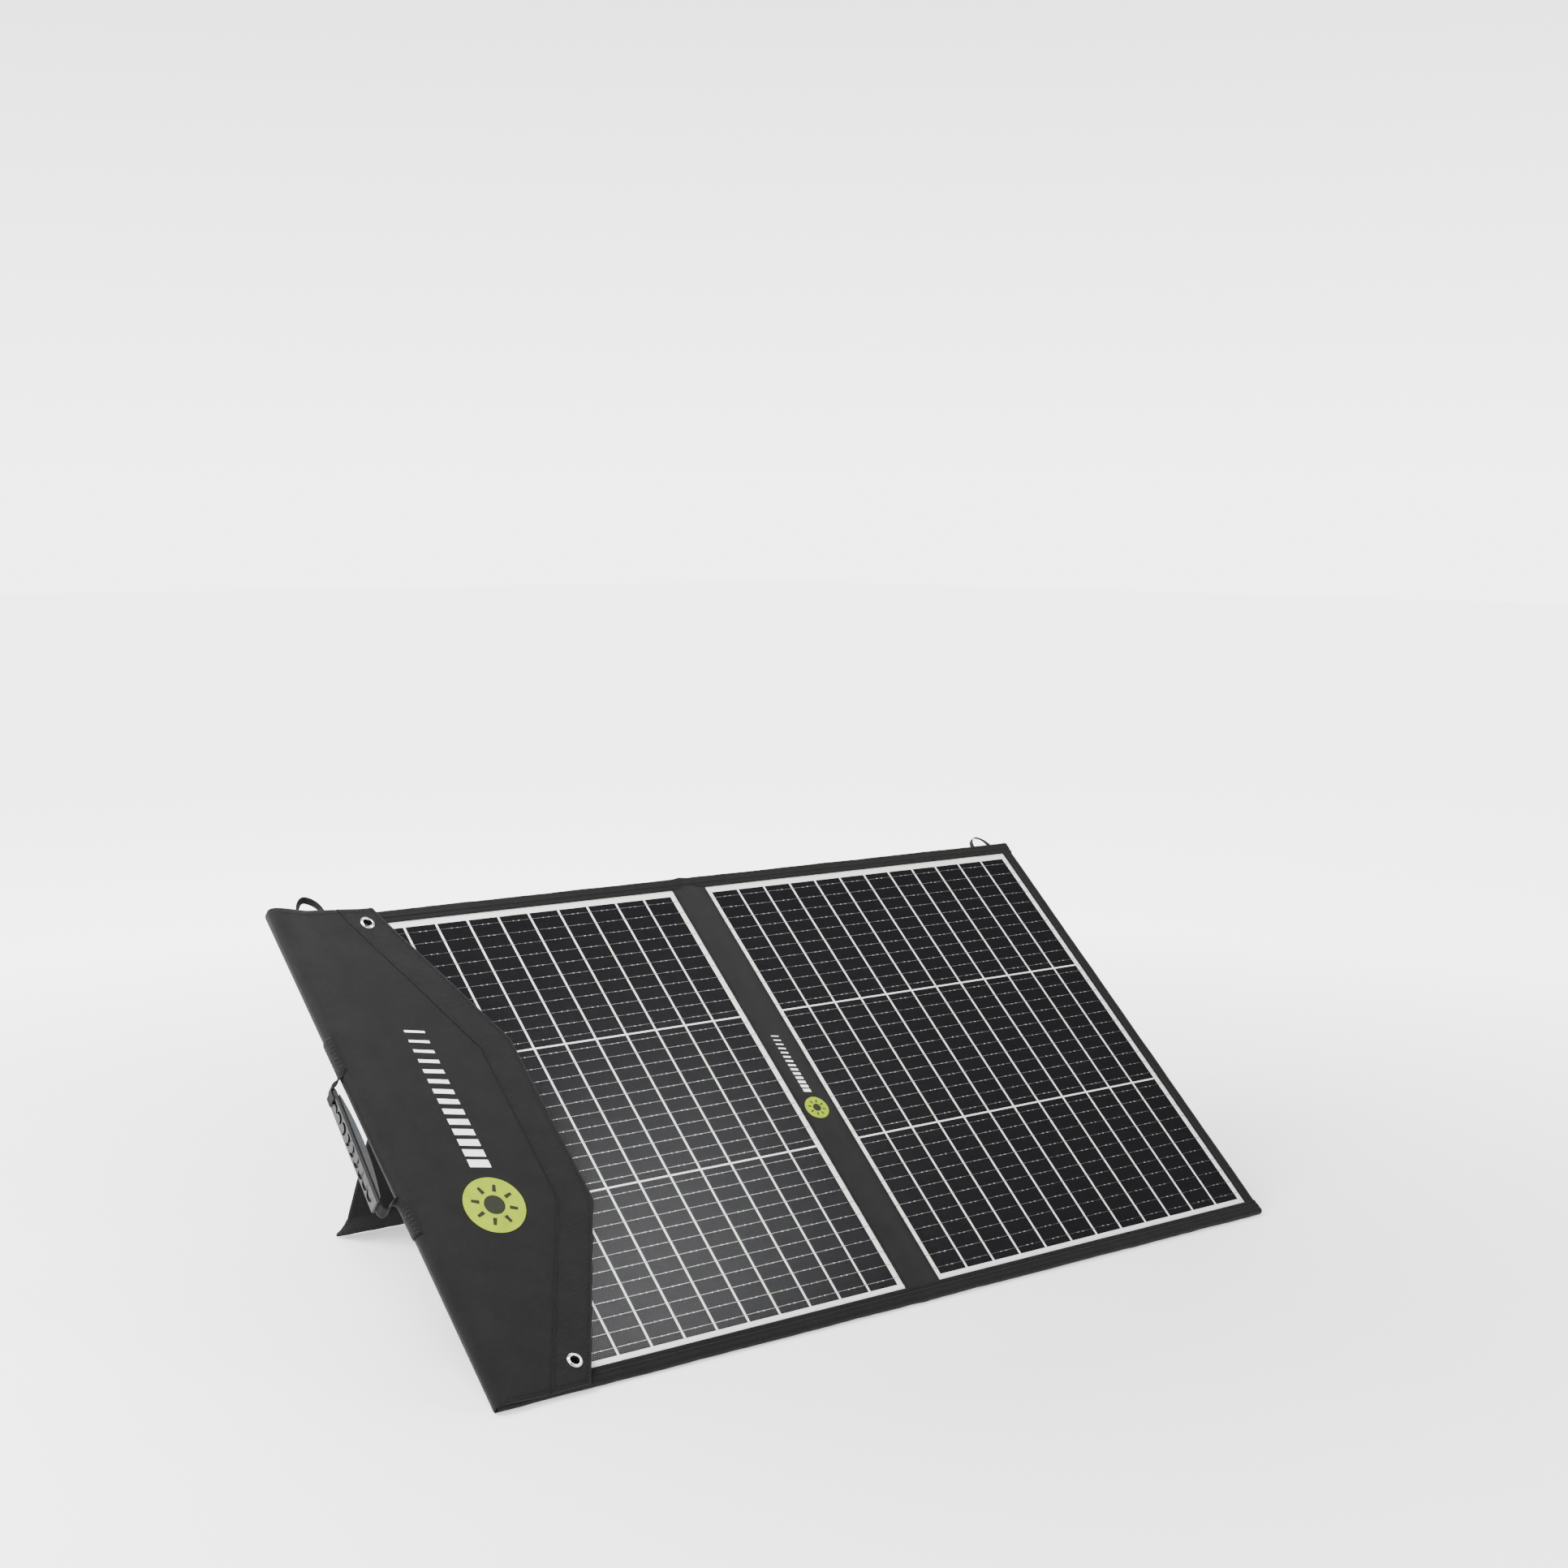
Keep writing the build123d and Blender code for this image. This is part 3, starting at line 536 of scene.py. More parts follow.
# The last colour of each is the painted tone of the dome tops: a painted highlight on the cells.
cell_look = laminated("cell_look", *CELL_TONES, 0.3, 0.9, 0.2, (0.0045, 0.0045, 0.005))
white_look = laminated("white_look", *WHITE_TONES, 0.4, 0.1, 0.3, (0.7, 0.7, 0.68))
wire_look = metal("wire_look", (0.3, 0.3, 0.29), 0.28, (0.35, 1.0, 1.0))
solder_look = metal("solder_look", (0.7, 0.7, 0.68), 0.25)
chrome = metal("chrome", (0.86, 0.86, 0.87), 0.12)
steel = metal("steel", (0.62, 0.62, 0.64), 0.3)
brass = metal("brass", (0.72, 0.55, 0.28), 0.3)
grip_dark = moulded("grip_dark", (0.0185, 0.0175, 0.017), 0.9, 0.5)
grip_light = moulded("grip_light", (0.036, 0.038, 0.040), 1.4, 0.45, strength=0.12)
box_plastic = moulded("box_plastic", (0.006, 0.006, 0.0065), 0.8, 0.5)
gland_plastic = moulded("gland_plastic", (0.0045, 0.0045, 0.005), 1.2, 0.38, strength=0.15)
core_board = moulded("core_board", (0.24, 0.24, 0.25), 1.5, 0.6)
lead_rubber = moulded("lead_rubber", (0.02, 0.02, 0.02), 1.0, 0.6)
lime_print = moulded("lime_print", (0.24, 0.335, 0.0), 1.2, 0.7, strength=0.2)
white_print = moulded("white_print", (0.86, 0.86, 0.85), 1.2, 0.55, strength=0.2)
dark_print = moulded("dark_print", (0.012, 0.014, 0.006), 1.2, 0.6, strength=0.2)

# The grip's outer face, for the painted shade in its recesses: its lean, a point on it, half its width, and how
# deep its recesses go.
GRIP_LEAN = math.radians(3.1)
GRIP_FACE = (-532.63, 89.92, 189.41)
GRIP_HALF = 8.2
RECESS_MIDDLE, RECESS_HALF = 1.05, 0.55
# Colour of the painted shade in the grip's recesses.
RECESS_SHADE_TONE = (0.0012, 0.001, 0.001)


def paint_recess_shade(material):
    """Paint shade into the grip's recesses: a darker colour by depth below its outer face."""
    tree = material.node_tree
    shader, flat = tree.nodes["Principled BSDF"], tree.nodes["Mapping"].outputs[0]
    inwards = (math.cos(GRIP_LEAN), -math.sin(GRIP_LEAN), 0.0)
    depth = dot(tree, flat, inwards)
    face = inwards[0] * GRIP_FACE[0] + inwards[1] * GRIP_FACE[1]
    below = is_near(tree, depth, face + RECESS_MIDDLE, RECESS_HALF)
    across = node(tree, "SeparateXYZ", {0: flat}).outputs["Z"]
    within = is_near(tree, across, GRIP_FACE[2], GRIP_HALF)
    inside = sums(tree, "MULTIPLY", below, within)
    plain = shader.inputs["Base Color"].links[0].from_socket
    # Painted shade: the recesses take the dark shade tone.
    put(tree, shader, {"Base Color": mix(tree, inside, plain, RECESS_SHADE_TONE)})


paint_recess_shade(grip_dark)

FINISHES = {
    "bag_fabric": bag_cloth, "webbing": webbing, "hook_loop": hook_tape, "cell": cell_look,
    "cell_wire": wire_look, "film": white_look, "backsheet": white_look, "board": core_board,
    "lead": lead_rubber, "eyelet": chrome, "grip_outer": grip_dark, "grip_inner": grip_light,
    "box": box_plastic, "gland": gland_plastic, "screw": steel, "terminal": brass,
    "diode": gland_plastic,
}
for part in frame["record"]["subparts"]:
    cad = frame["nodes"][part["node"]]
    if not cad.material_slots:
        cad.data.materials.append(FINISHES[part["material_slot"]])
    for one in cad.material_slots:
        one.material = FINISHES[part["material_slot"]]

# Widths of the bevels on the edges of hard pieces.
BEVELS = {
    "grip_outer_shell": 0.5, "grip_inner_shell": 1.2, "junction_box_lid": 0.5,
    "junction_box_base": 0.3, "gland_nut": 0.4, "gland_body": 0.3,
}
for name, width in BEVELS.items():
    soften = frame["nodes"][name].modifiers.new("soften", "BEVEL")
    soften.width = width * MM
    soften.segments = 3
    soften.limit_method = "ANGLE"

# ---- modules ----
CELL_PITCH_X, CELL_PITCH_Y = 39.15, 184.2
COLUMNS, ROWS, WIRES = 12, 3, 11
WIRE_PITCH = 182 / WIRES
CELLS_OFF_X, CELLS_OFF_Y = -0.4, -0.9
CELL_HALF = 18
WIRE_BASE, WIRE_TOP = -0.42, -0.08
WIRE_SECTION = ((-0.28, WIRE_BASE), (-0.17, WIRE_TOP), (0.17, WIRE_TOP), (0.28, WIRE_BASE))
PAD_OFF, PAD_X, PAD_Y, PAD_HEIGHT = 3.6, 1.15, 0.75, 0.17


def block_rows(path, section):
    """A closed bar: section (k, 2) in y and z, carried along path (n, 3)."""
    ring = path[:, None] + np.pad(section, ((0, 0), (1, 0)))
    return ring.reshape(-1, 3), capped(len(path), len(section))


def dome(centre, half_x, half_y, height, sides=8):
    """A low closed dome lying on z, centred at a point."""
    turn = circle(sides)
    ring = np.stack([np.cos(turn) * half_x, np.sin(turn) * half_y, np.zeros(sides)], -1)
    upper = ring * (0.62, 0.62, 0) + (0, 0, height)
    return np.concatenate([ring, upper]) + centre, capped(2, sides)


for side, sign in (("left", -1), ("right", 1)):
    middle_x = sign * WINDOW_X + CELLS_OFF_X
    middle_y = WINDOW_Y + CELLS_OFF_Y
    columns = middle_x + (np.arange(COLUMNS) - (COLUMNS - 1) / 2) * CELL_PITCH_X
    ends = (sign * WINDOW_X - WINDOW_W / 2 + 1, sign * WINDOW_X + WINDOW_W / 2 - 1)
    # The wires dip a little between the cells.
    near = np.array((-CELL_HALF - 0.6, -CELL_HALF + 0.6, CELL_HALF - 0.6, CELL_HALF + 0.6))
    dips = (columns[:, None] + near).ravel()
    along = np.unique(np.concatenate([ends, dips[(dips > ends[0]) & (dips < ends[1])]]))
    low = np.min(np.abs(along[:, None] - columns[None]), axis=1) > CELL_HALF
    wires, pads = [], []
    for row in range(ROWS):
        for wire in range(WIRES):
            y = middle_y + (row - 1) * CELL_PITCH_Y + (wire - (WIRES - 1) / 2) * WIRE_PITCH
            path = np.stack([along, np.full(len(along), y), np.where(low, -0.06, 0)], -1)
            wires.append(block_rows(path, np.array(WIRE_SECTION)))
            for column in columns:
                for step in (-PAD_OFF, PAD_OFF):
                    centre = (column + step, y, WIRE_TOP - 0.12)
                    pads.append(dome(centre, PAD_X, PAD_Y, PAD_HEIGHT))
    body = f"{side}_panel"
    piece = add(f"{side}_wires", *joined(wires), wire_look, smooth=False)
    dress(piece, "cell_wire", f"{side}_cell_wires", body=body)
    piece = add(f"{side}_solder_pads", *joined(pads), solder_look)
    dress(piece, "cell_wire", f"{side}_front_film", body=body)

# ---- stitches ----
STITCH_PITCH, STITCH_LENGTH, STITCH_R = 3.3, 2.1, 0.42
STITCH_RINGS = ((-0.5, 0.4, -0.4), (-0.3, 1, 0), (0.3, 1, 0), (0.5, 0.4, -0.4))
STITCH_SIDES = 5
STITCH_LIFT = 0.12


def stitching(lines, r=STITCH_R):
    """Small raised stitches along lines; each line is points and the direction out of the cloth."""
    turn = circle(STITCH_SIDES)
    faces = capped(len(STITCH_RINGS), STITCH_SIDES)
    parts = []
    for line, lift in lines:
        line = np.asarray(line, float)
        gone = distances(line)
        count = max(1, int(gone[-1] / STITCH_PITCH))
        for k in range(count):
            here = (k + 0.5) * gone[-1] / count
            pair = np.array([here - 0.5, here + 0.5])
            ends = np.stack([np.interp(pair, gone, line[:, a]) for a in range(3)], -1)
            way = ends[1] - ends[0]
            way /= np.linalg.norm(way)
            middle = ends.mean(0)
            side = np.cross(lift, way)
            side /= np.linalg.norm(side)
            rise = np.cross(way, side)
            ring = np.outer(np.cos(turn), side) + np.outer(np.sin(turn), rise)
            points = [
                middle + way * STITCH_LENGTH * a + rise * (STITCH_LIFT + c * r) + ring * r * b
                for a, b, c in STITCH_RINGS
            ]
            parts.append((np.concatenate(points), faces))
    return joined(parts)


OUT = (0, 0, 1)
IN = (0, 0, -1)


def straight(x0, y0, x1, y1, z, lift=OUT):
    return (np.array([(x0, y0, z), (x1, y1, z)]), lift)


# ---- front and back cloth of the bag ----
EDGE_CLOTH, COVER_CLOTH = 0.7, 0.6
# How far in from an edge its unevenness reaches.
ROLL = 12
# Binding on the upper and lower edges: distance inwards from the edge, and height.
BINDING = (
    (17.3, 0.05), (16.9, 0.75), (15.6, 1), (13.2, 0.85), (11.9, 0.8), (11.3, 0.62),
    (10.9, 1.25), (9.9, 1.6), (7.2, 1.35), (4.6, 1.6), (2.4, 1.45), (0.9, 0.75),
    (0, -0.9), (-0.25, -2.8), (0, -4.7), (1.2, -6.3), (3.6, -7), (7, -6.8),
    (10.5, -7), (11.4, -6.6),
)
depth, rise = curve(BINDING, 44).T
share = np.clip(1 - depth / ROLL, 0, 1)
x = stations(LEFT_EDGE, RIGHT_EDGE, 4, SPINE_STATIONS)[:, None]
for name, edge, inward, seed, bulge in (
    ("binding_upper", HEIGHT, -1, 3, 1),
    ("binding_lower", 0, 1, 8, 0.5),
):
    lump = ridge(x, -5, 6) * bulge
    uneven = ripple(x, seed, 170) * 0.28 + ripple(x, seed + 1, 23) * 0.07
    y = edge + inward * (depth - (uneven + lump) * share)
    z = rise + (ripple(x, seed + 2, 90) * 0.2 + lump) * np.where(rise > -3, 1, -1) * share
    piece = cloth(name, (x, y, z), EDGE_CLOTH, hem_cloth)
    spine_blend(piece)
    dress(piece, "bag_fabric", "left_front_frame", "right_front_frame")

# The right hem and the left margin likewise. The flap covers the margin.
HEM = (
    (16.3, 0.02), (15.9, 0.6), (14.6, 0.8), (11, 0.7), (9.4, 0.72), (6.4, 1.05), (3.4, 1),
    (1.2, 0.4), (0, -1.2), (-0.2, -2.9), (0.2, -4.8), (1.5, -6.2), (5, -6.6), (10, -6.6),
)
MARGIN = (
    (23.2, 0.02), (22.8, 0.6), (21, 0.75), (12, 0.7), (5, 0.75), (1.6, 0.3),
    (0.4, -1.2), (0.2, -3), (0.4, -4.8), (2, -6.1), (6, -6.4), (12, -6.4),
)
y = stations(0.6, HEIGHT - 0.6, 6)[:, None]
for name, side, profile, edge, inward, seed, width, look in (
    ("hem_right", "right", HEM, RIGHT_EDGE, -1, 21, 0.036, hem_cloth),
    ("margin_left", "left", MARGIN, LEFT_EDGE, 1, 25, 0.041, bag_cloth),
):
    depth, rise = curve(profile, 30).T
    share = np.clip(1 - depth / ROLL, 0, 1)
    x = edge + inward * (depth - ripple(y, seed, 150) * 0.25 * share)
    z = rise + ripple(y, seed + 1, 80) * 0.15 * share
    piece = cloth(name, (x, y, z), EDGE_CLOTH, look)
    dress(piece, "bag_fabric", f"{side}_front_frame", body=f"{side}_panel")


def spine_rise(x, y):
    """Height of the middle of the spine's cover, which is crowned and a little uneven."""
    edge = np.clip((SPINE_EDGE - np.abs(x)) / 1.6, 0, 1) ** 0.6
    crown = 0.35 * np.cos(x / (SPINE / 2) * math.pi) * edge * (1 + 0.4 * ripple(y, 31, 190))
    return 0.1 + edge * 0.75 + crown + ripple(y, 33, 60) * 0.12 * edge


x, y = np.meshgrid(stations(-SPINE_EDGE, SPINE_EDGE, 3, SPINE_STATIONS), stations(14, 586, 7))
piece = cloth("spine_cover", (x, y, spine_rise(x, y)), COVER_CLOTH, spine_cloth_painted_sheen)
spine_blend(piece)
dress(piece, "bag_fabric", "spine_front_strip")

x, y = np.meshgrid(
    stations(LEFT_EDGE + 1, RIGHT_EDGE - 1, 9, SPINE_STATIONS),
    stations(1, HEIGHT - 1, 9),
)
inside = np.clip(np.minimum.reduce([x - LEFT_EDGE, RIGHT_EDGE - x, y, HEIGHT - y]) / 40, 0, 1)
slack = ripple(x + 0.4 * y, 41, 260) * ripple(y - 0.3 * x, 43, 210)
z = BACK - 0.15 - inside * (0.25 + 0.35 * slack) - 0.5 * ridge(x, 0, 9)
back_cover = cloth("back_cover", (x, y, z), COVER_CLOTH, bag_cloth)
spine_blend(back_cover)
dress(back_cover, "bag_fabric", "left_back_fabric", "right_back_fabric", "spine_back_strip")

# Rows of stitches: along the upper and lower edges, then up the bag's front and rear.
LEVEL_ROWS = ((14.4, 0.98, OUT), (9.4, 1.66, OUT), (3.4, 1.6, OUT), (8.6, -7.2, IN))
UPRIGHT_ROWS = (
    ((RIGHT_EDGE - 13.6,), 3, 0.95, OUT),
    ((RIGHT_EDGE - 5.2,), 3, 1.2, OUT),
    ((-SPINE / 2 + 2.8, SPINE / 2 - 2.8), 16, 1, OUT),
    ((LEFT_EDGE + 10, -16, 16, RIGHT_EDGE - 8), 6, -6.75, IN),
)
rows = []
for edge, inward in ((HEIGHT, -1), (0, 1)):
    for depth, height, lift in LEVEL_ROWS:
        y = edge + inward * depth
        rows.append(straight(LEFT_EDGE + 2, y, RIGHT_EDGE - 2, y, height, lift))
for places, gap, height, lift in UPRIGHT_ROWS:
    rows += [straight(x, gap, x, HEIGHT - gap, height, lift) for x in places]
bag_stitches = add("bag_stitches", *stitching(rows), thread)
spine_blend(bag_stitches)
dress(bag_stitches, "bag_fabric")

# ---- cover flap with its fold ----
FOLD_X = -527.2
FLAP_TOP, FLAP_UNDER = 5.5, 1.7
MIDDLE_W, TOP_W, BOTTOM_W = 200, 118, 101
SLANT_TOP, SLANT_BOTTOM = 405, 195
EYELETS = ((-424, 582), (-432, 27))
HOLE_R, HOLE_CUT = 6.6, 5.6
lean_top = (MIDDLE_W - TOP_W) / (HEIGHT - SLANT_TOP)
lean_bottom = (MIDDLE_W - BOTTOM_W) / SLANT_BOTTOM


def free_edge(y, inset):
    """x of the flap's free edge at a height, moved in by inset."""
    y = np.asarray(y, float)
    far = FOLD_X + MIDDLE_W
    top = far - (y - SLANT_TOP) * lean_top - inset * math.hypot(1, lean_top)
    bottom = far - (SLANT_BOTTOM - y) * lean_bottom - inset * math.hypot(1, lean_bottom)
    return np.minimum.reduce([np.broadcast_to(far - inset, np.shape(top)), top, bottom])


def rounded(distance, radius):
    """Share of the full thickness at a distance from a rounded edge."""
    return np.sqrt(np.clip(1 - (1 - np.clip(distance / radius, 0, 1)) ** 2, 0, 1))


# The fold, from its end on the bag's rear round to the flap: outer and inner faces.
FOLD_OUTER = (
    (-512, -7.5), (-518, -7.6), (-524, -7.5), (-528, -5.9), (-529.8, -3), (-530.4, 0.5),
    (-529.9, 3.9), (-527.4, 6.6), (-523, 8.1), (-517, 8.5), (-509, 8.1), (-500, 7.1),
    (-491, 6.1), (-484, 5.6), (-480, 5.5),
)
FOLD_INNER = (
    (-512, -6.9), (-518, -6.9), (-523.8, -6.8), (-527, -5), (-528.3, -2.6), (-528.7, 0.4),
    (-528.3, 2.6), (-526.4, 4.4), (-522.6, 5.2), (-517, 5.2), (-509, 4.6), (-500, 3.5),
    (-491, 2.4), (-484, 1.8), (-480, 1.7),
)
FOLD_COLUMNS, PLAIN_COLUMNS = 40, 12
BAND_FIRST = FOLD_COLUMNS + PLAIN_COLUMNS
# Columns from BAND_FIRST on: two in the groove beside the band, then the band's own.
GROOVE, BAND = 5, 7
# The band's folded edges and the groove: inset from the free edge, and rise.
BAND_RISE = (
    (0, -0.1), (3.2, 0.15), (5.5, -0.1), (8, 0.1), (33, 0.1), (37.2, 0), (38.9, 0.45),
    (39.3, -0.25), (39.9, -0.6), (41.5, -0.1), (46, 0),
)
insets = np.array(
    [
        *(44.5, 43.4, 42.4, 41.3, 40.2, 39.7, 39.3, 38.9, 38.3, 37.2),
        *np.arange(35.5, 9, -2.3),
        *(8, 6.2, 4.6, 3.2, 2, 1.1, 0.45, 0),
    ]
)
flap_y = stations(0, HEIGHT, 2.5, [SLANT_TOP, SLANT_BOTTOM])
outer, inner = np.zeros((2, len(flap_y), BAND_FIRST + len(insets), 3))
for layer, profile, height in ((outer, FOLD_OUTER, FLAP_TOP), (inner, FOLD_INNER, FLAP_UNDER)):
    fold = curve(profile, FOLD_COLUMNS)
    first = free_edge(flap_y, insets[0])[:, None]
    steps = np.linspace(0, 1, PLAIN_COLUMNS + 2)[1:-1]
    layer[..., 1] = flap_y[:, None]
    layer[:, :FOLD_COLUMNS, 0] = fold[:, 0]
    layer[:, :FOLD_COLUMNS, 2] = fold[:, 1]
    layer[:, FOLD_COLUMNS:BAND_FIRST, 0] = fold[-1, 0] + (first - fold[-1, 0]) * steps
    for k, inset in enumerate(insets):
        layer[:, BAND_FIRST + k, 0] = free_edge(flap_y, inset)
    layer[:, FOLD_COLUMNS:, 2] = height
edge_round = rounded(insets, 2)
raised = np.interp(insets, *zip(*BAND_RISE))
middle = (FLAP_TOP + FLAP_UNDER) / 2
outer[:, BAND_FIRST:, 2] = middle + (FLAP_TOP - middle + raised) * edge_round
inner[:, BAND_FIRST:, 2] = middle - (middle - FLAP_UNDER) * edge_round
# Thin rounded hems at the upper and lower ends.
end_gap = np.minimum(flap_y, HEIGHT - flap_y)
squeeze = 0.12 + 0.88 * rounded(end_gap, 1.6)[:, None, None]
centre = (outer + inner) / 2
outer = centre + (outer - centre) * squeeze
inner = centre + (inner - centre) * squeeze
# Unevenness: dents along the hems, and a fold that is fuller at its upper end.
x, y = outer[..., 0], outer[..., 1]
hem_dent = ridge(end_gap[:, None], 4.8, 1.1) * -0.22
flat_share = np.clip((x - FOLD_X) / 40, 0, 1)
wave = (ripple(y + 0.5 * x, 51, 230) * 0.35 + ripple(x - 0.6 * y, 53, 120) * 0.18) * flat_share
full = (ripple(y, 55, 320) * 0.8 + ripple(y, 57, 95) * 0.25) * (1 - flat_share)
full += np.clip((y - 480) / 120, 0, 1) ** 2 * 4 * (1 - flat_share)
above = np.clip((outer[..., 2] + 1) / 4, 0, 1)
outer[..., 2] += hem_dent * above + (wave + full) * above
inner[..., 2] += np.clip(wave, -0.2, 1) * above + full * above * 0.8


# From what height the flap's upper end is drawn up, and by how much at two places in x.
DRAWN_FROM, DRAWN_X, DRAWN_BY = 586, (-526, -424), (12, 3)


def raised_end(x, y):
    """y of a point on the flap, its upper end drawn up, more so towards the fold."""
    reach = np.interp(x, DRAWN_X, DRAWN_BY)
    share = np.clip((y - DRAWN_FROM) / (HEIGHT - DRAWN_FROM), 0, 1)
    return y + reach * share * share * (3 - 2 * share)


for layer in (outer, inner):
    layer[..., 1] = raised_end(layer[..., 0], layer[..., 1])
points, faces = shell(outer, inner)
column_of = np.tile(np.arange(outer.shape[1] - 1), len(flap_y) - 1) - BAND_FIRST
of_face = np.zeros(len(faces), int)
# Faces of the band take the band's cloth; faces of the groove beside it take the dark thread's material, painted
# shade in the groove.
of_face[: len(column_of)] = (column_of >= BAND) + 2 * ((column_of >= GROOVE) & (column_of < BAND))
centres = points[faces[:, :4]].mean(1)
keep = np.ones(len(faces), bool)
for ex, ey in EYELETS:
    keep &= np.hypot(centres[:, 0] - ex, centres[:, 1] - ey) > HOLE_CUT
    offset = points[:, :2] - (ex, ey)
    away = np.linalg.norm(offset, axis=1)
    near = (away < HOLE_R) & (points[:, 2] > -2)
    points[near, :2] = (ex, ey) + offset[near] * (HOLE_R / np.maximum(away[near], 0.1))[:, None]
looks = [bag_cloth, band_cloth, thread]
flap_cover = add("flap_cover", points, faces[keep], looks, of_face=of_face[keep])
flap_blend(flap_cover)
nodes = [f"flap_{kind}" for kind in ("outer_fabric", "inner_fabric", "edge_band", "fold_fabric")]
dress(flap_cover, "bag_fabric", *nodes)


def flap_row(y):
    return int(np.clip(np.searchsorted(flap_y, y), 0, len(flap_y) - 1))


def flap_height(x, y):
    """Height of the flap's upper face over a point."""
    line = outer[flap_row(y), 8:]
    return float(np.interp(x, line[:, 0], line[:, 2]))


def on_flap(line):
    """A line of x and y, laid on the flap and drawn up with its upper end."""
    line = np.array([(x, y, flap_height(x, y)) for x, y in line])
    line[:, 1] = raised_end(line[:, 0], line[:, 1])
    return line, OUT


def dense(a, b, step=6):
    """Points from a to b, about a step apart."""
    count = max(2, int(math.dist(a, b) / step))
    return np.array(a) + (np.array(b) - np.array(a)) * np.arange(count + 1)[:, None] / count


rows = []
ys = np.unique(np.concatenate([np.linspace(3, HEIGHT - 3, 120), [SLANT_TOP, SLANT_BOTTOM]]))
for inset in (4.6, 37.2):
    rows.append(on_flap(zip(free_edge(ys, inset), ys)))
for y in (4.8, HEIGHT - 4.8):
    rows.append(on_flap(dense((-519, y), (float(free_edge(y, 5)), y))))
flap_stitches = add("flap_stitches", *stitching(rows), thread)
flap_blend(flap_stitches)
dress(flap_stitches, "bag_fabric")

# Eyelets, turned from one profile: radius and height.
EYELET = (
    (4.8, 1.1), (4.8, 5), (4.9, 6), (5.25, 6.6), (5.8, 6.85), (6.35, 6.7), (6.65, 6.3),
    (6.85, 6.25), (7.4, 6.3), (7.9, 5.95), (8.05, 5.45), (7.8, 5.2), (5.5, 5.2), (5.5, 1.1),
)


def turned(profile, centre, sides=40):
    """A closed ring turned from a profile round an upright axis."""
    turn = circle(sides)[:, None]
    r, z = np.array(profile).T
    points = points_of(centre[0] + np.cos(turn) * r, centre[1] + np.sin(turn) * r, z)
    return points.reshape(-1, 3), ring_faces(sides, len(profile), loop=True)


eyelets = add("eyelet_rings", *joined([turned(EYELET, c) for c in EYELETS]), chrome)
dress(eyelets, "eyelet", "flap_eyelets", body="flap")

far = FOLD_X + MIDDLE_W
x, y = np.meshgrid(stations(far - 32, far - 7, 3), stations(210, 390, 4))
z = 1.35 + ripple(x * 3 + y, 61, 9) * 0.05
hook = cloth("hook_tape_strip", (x, y, z), 0.6, hook_tape)
dress(hook, "hook_loop", "flap_hook_strip", body="flap")


# ---- printed marks ----
def slab(outline, low, high):
    """A thin closed plate of a convex outline."""
    count = len(outline)
    points = [np.c_[np.asarray(outline, float), np.full(count, z)] for z in (low, high)]
    return np.concatenate(points), capped(2, count)


def disc_grid(cx, cy, r, low, high):
    """A thin round plate with rings of points, so that it can bend."""
    n, k = 9, 48
    radii = np.linspace(r, 0.6, n)[:, None]
    turn = circle(k)
    x, y = cx + radii * np.cos(turn), cy + radii * np.sin(turn)
    points = np.concatenate([points_of(x, y, z).reshape(-1, 3) for z in (high, low)])
    web = ring_faces(n, k) + [list(range((n - 1) * k, n * k))]
    faces = [[first + i for i in face] for first in (0, n * k) for face in web]
    faces += [[j, (j + 1) % k, n * k + (j + 1) % k, n * k + j] for j in range(k)]
    return points, faces


# A ray of the sun: distance from the middle, and half its width, as shares of the disc's radius.
RAY = ((0.48, 0.065), (0.74, 0.05), (0.74, -0.05), (0.48, -0.065))


def sun(cx, cy, r, low, high):
    """A round sun with eight short rays."""
    parts = [disc_grid(cx, cy, r * 0.34, low, high)]
    for k in range(8):
        a = math.pi / 8 + k * math.pi / 4
        way, side = np.array([math.cos(a), math.sin(a)]), np.array([-math.sin(a), math.cos(a)])
        corners = [way * r * reach + side * r * half for reach, half in RAY]
        parts.append(slab(np.array(corners) + (cx, cy), low, high))
    return parts


def bars(cx, y0, y1, width, low, high, count=14):
    """Slanted bars across a strip, thinner and thinner along it."""
    parts = []
    pitch = (y1 - y0) / count
    left, right, lean = cx - width / 2, cx + width / 2, width * 0.22
    for k in range(count):
        bar = pitch * (0.68 - 0.48 * k / (count - 1))
        y = y0 + k * pitch
        corners = [(left, y + lean), (right, y), (right, y + bar), (left, y + bar + lean)]
        parts.append(slab(corners, low, high))
    return parts


def printed(prefix, spot, strip, levels, height):
    """A lime disc with a dark sun, and white bars above it, set on the cloth under them."""
    disc_z, sun_z, bars_z = levels
    made = []
    for kind, parts, look in (
        ("disc", [disc_grid(*spot, *disc_z)], lime_print),
        ("sun", sun(*spot, *sun_z), dark_print),
        ("bars", bars(*strip, *bars_z), white_print),
    ):
        points, faces = joined(parts)
        points[:, 2] += [height(x, y) for x, y in points[:, :2]]
        made.append(add(f"{prefix}_mark_{kind}", points, faces, look, smooth=False))
    return made


FLAP_DISC, FLAP_BARS = (-436.5, 210, 33), (-431.5, 253, 441, 22)
FLAP_LEVELS = ((-0.6, 0.22), (-0.1, 0.4), (-0.5, 0.22))
for piece in printed("flap", FLAP_DISC, FLAP_BARS, FLAP_LEVELS, flap_height):
    dress(piece, "bag_fabric", body="flap")


def spine_height(x, y):
    """Height of the upper face of the spine's cover."""
    return spine_rise(x, y) + COVER_CLOTH / 2


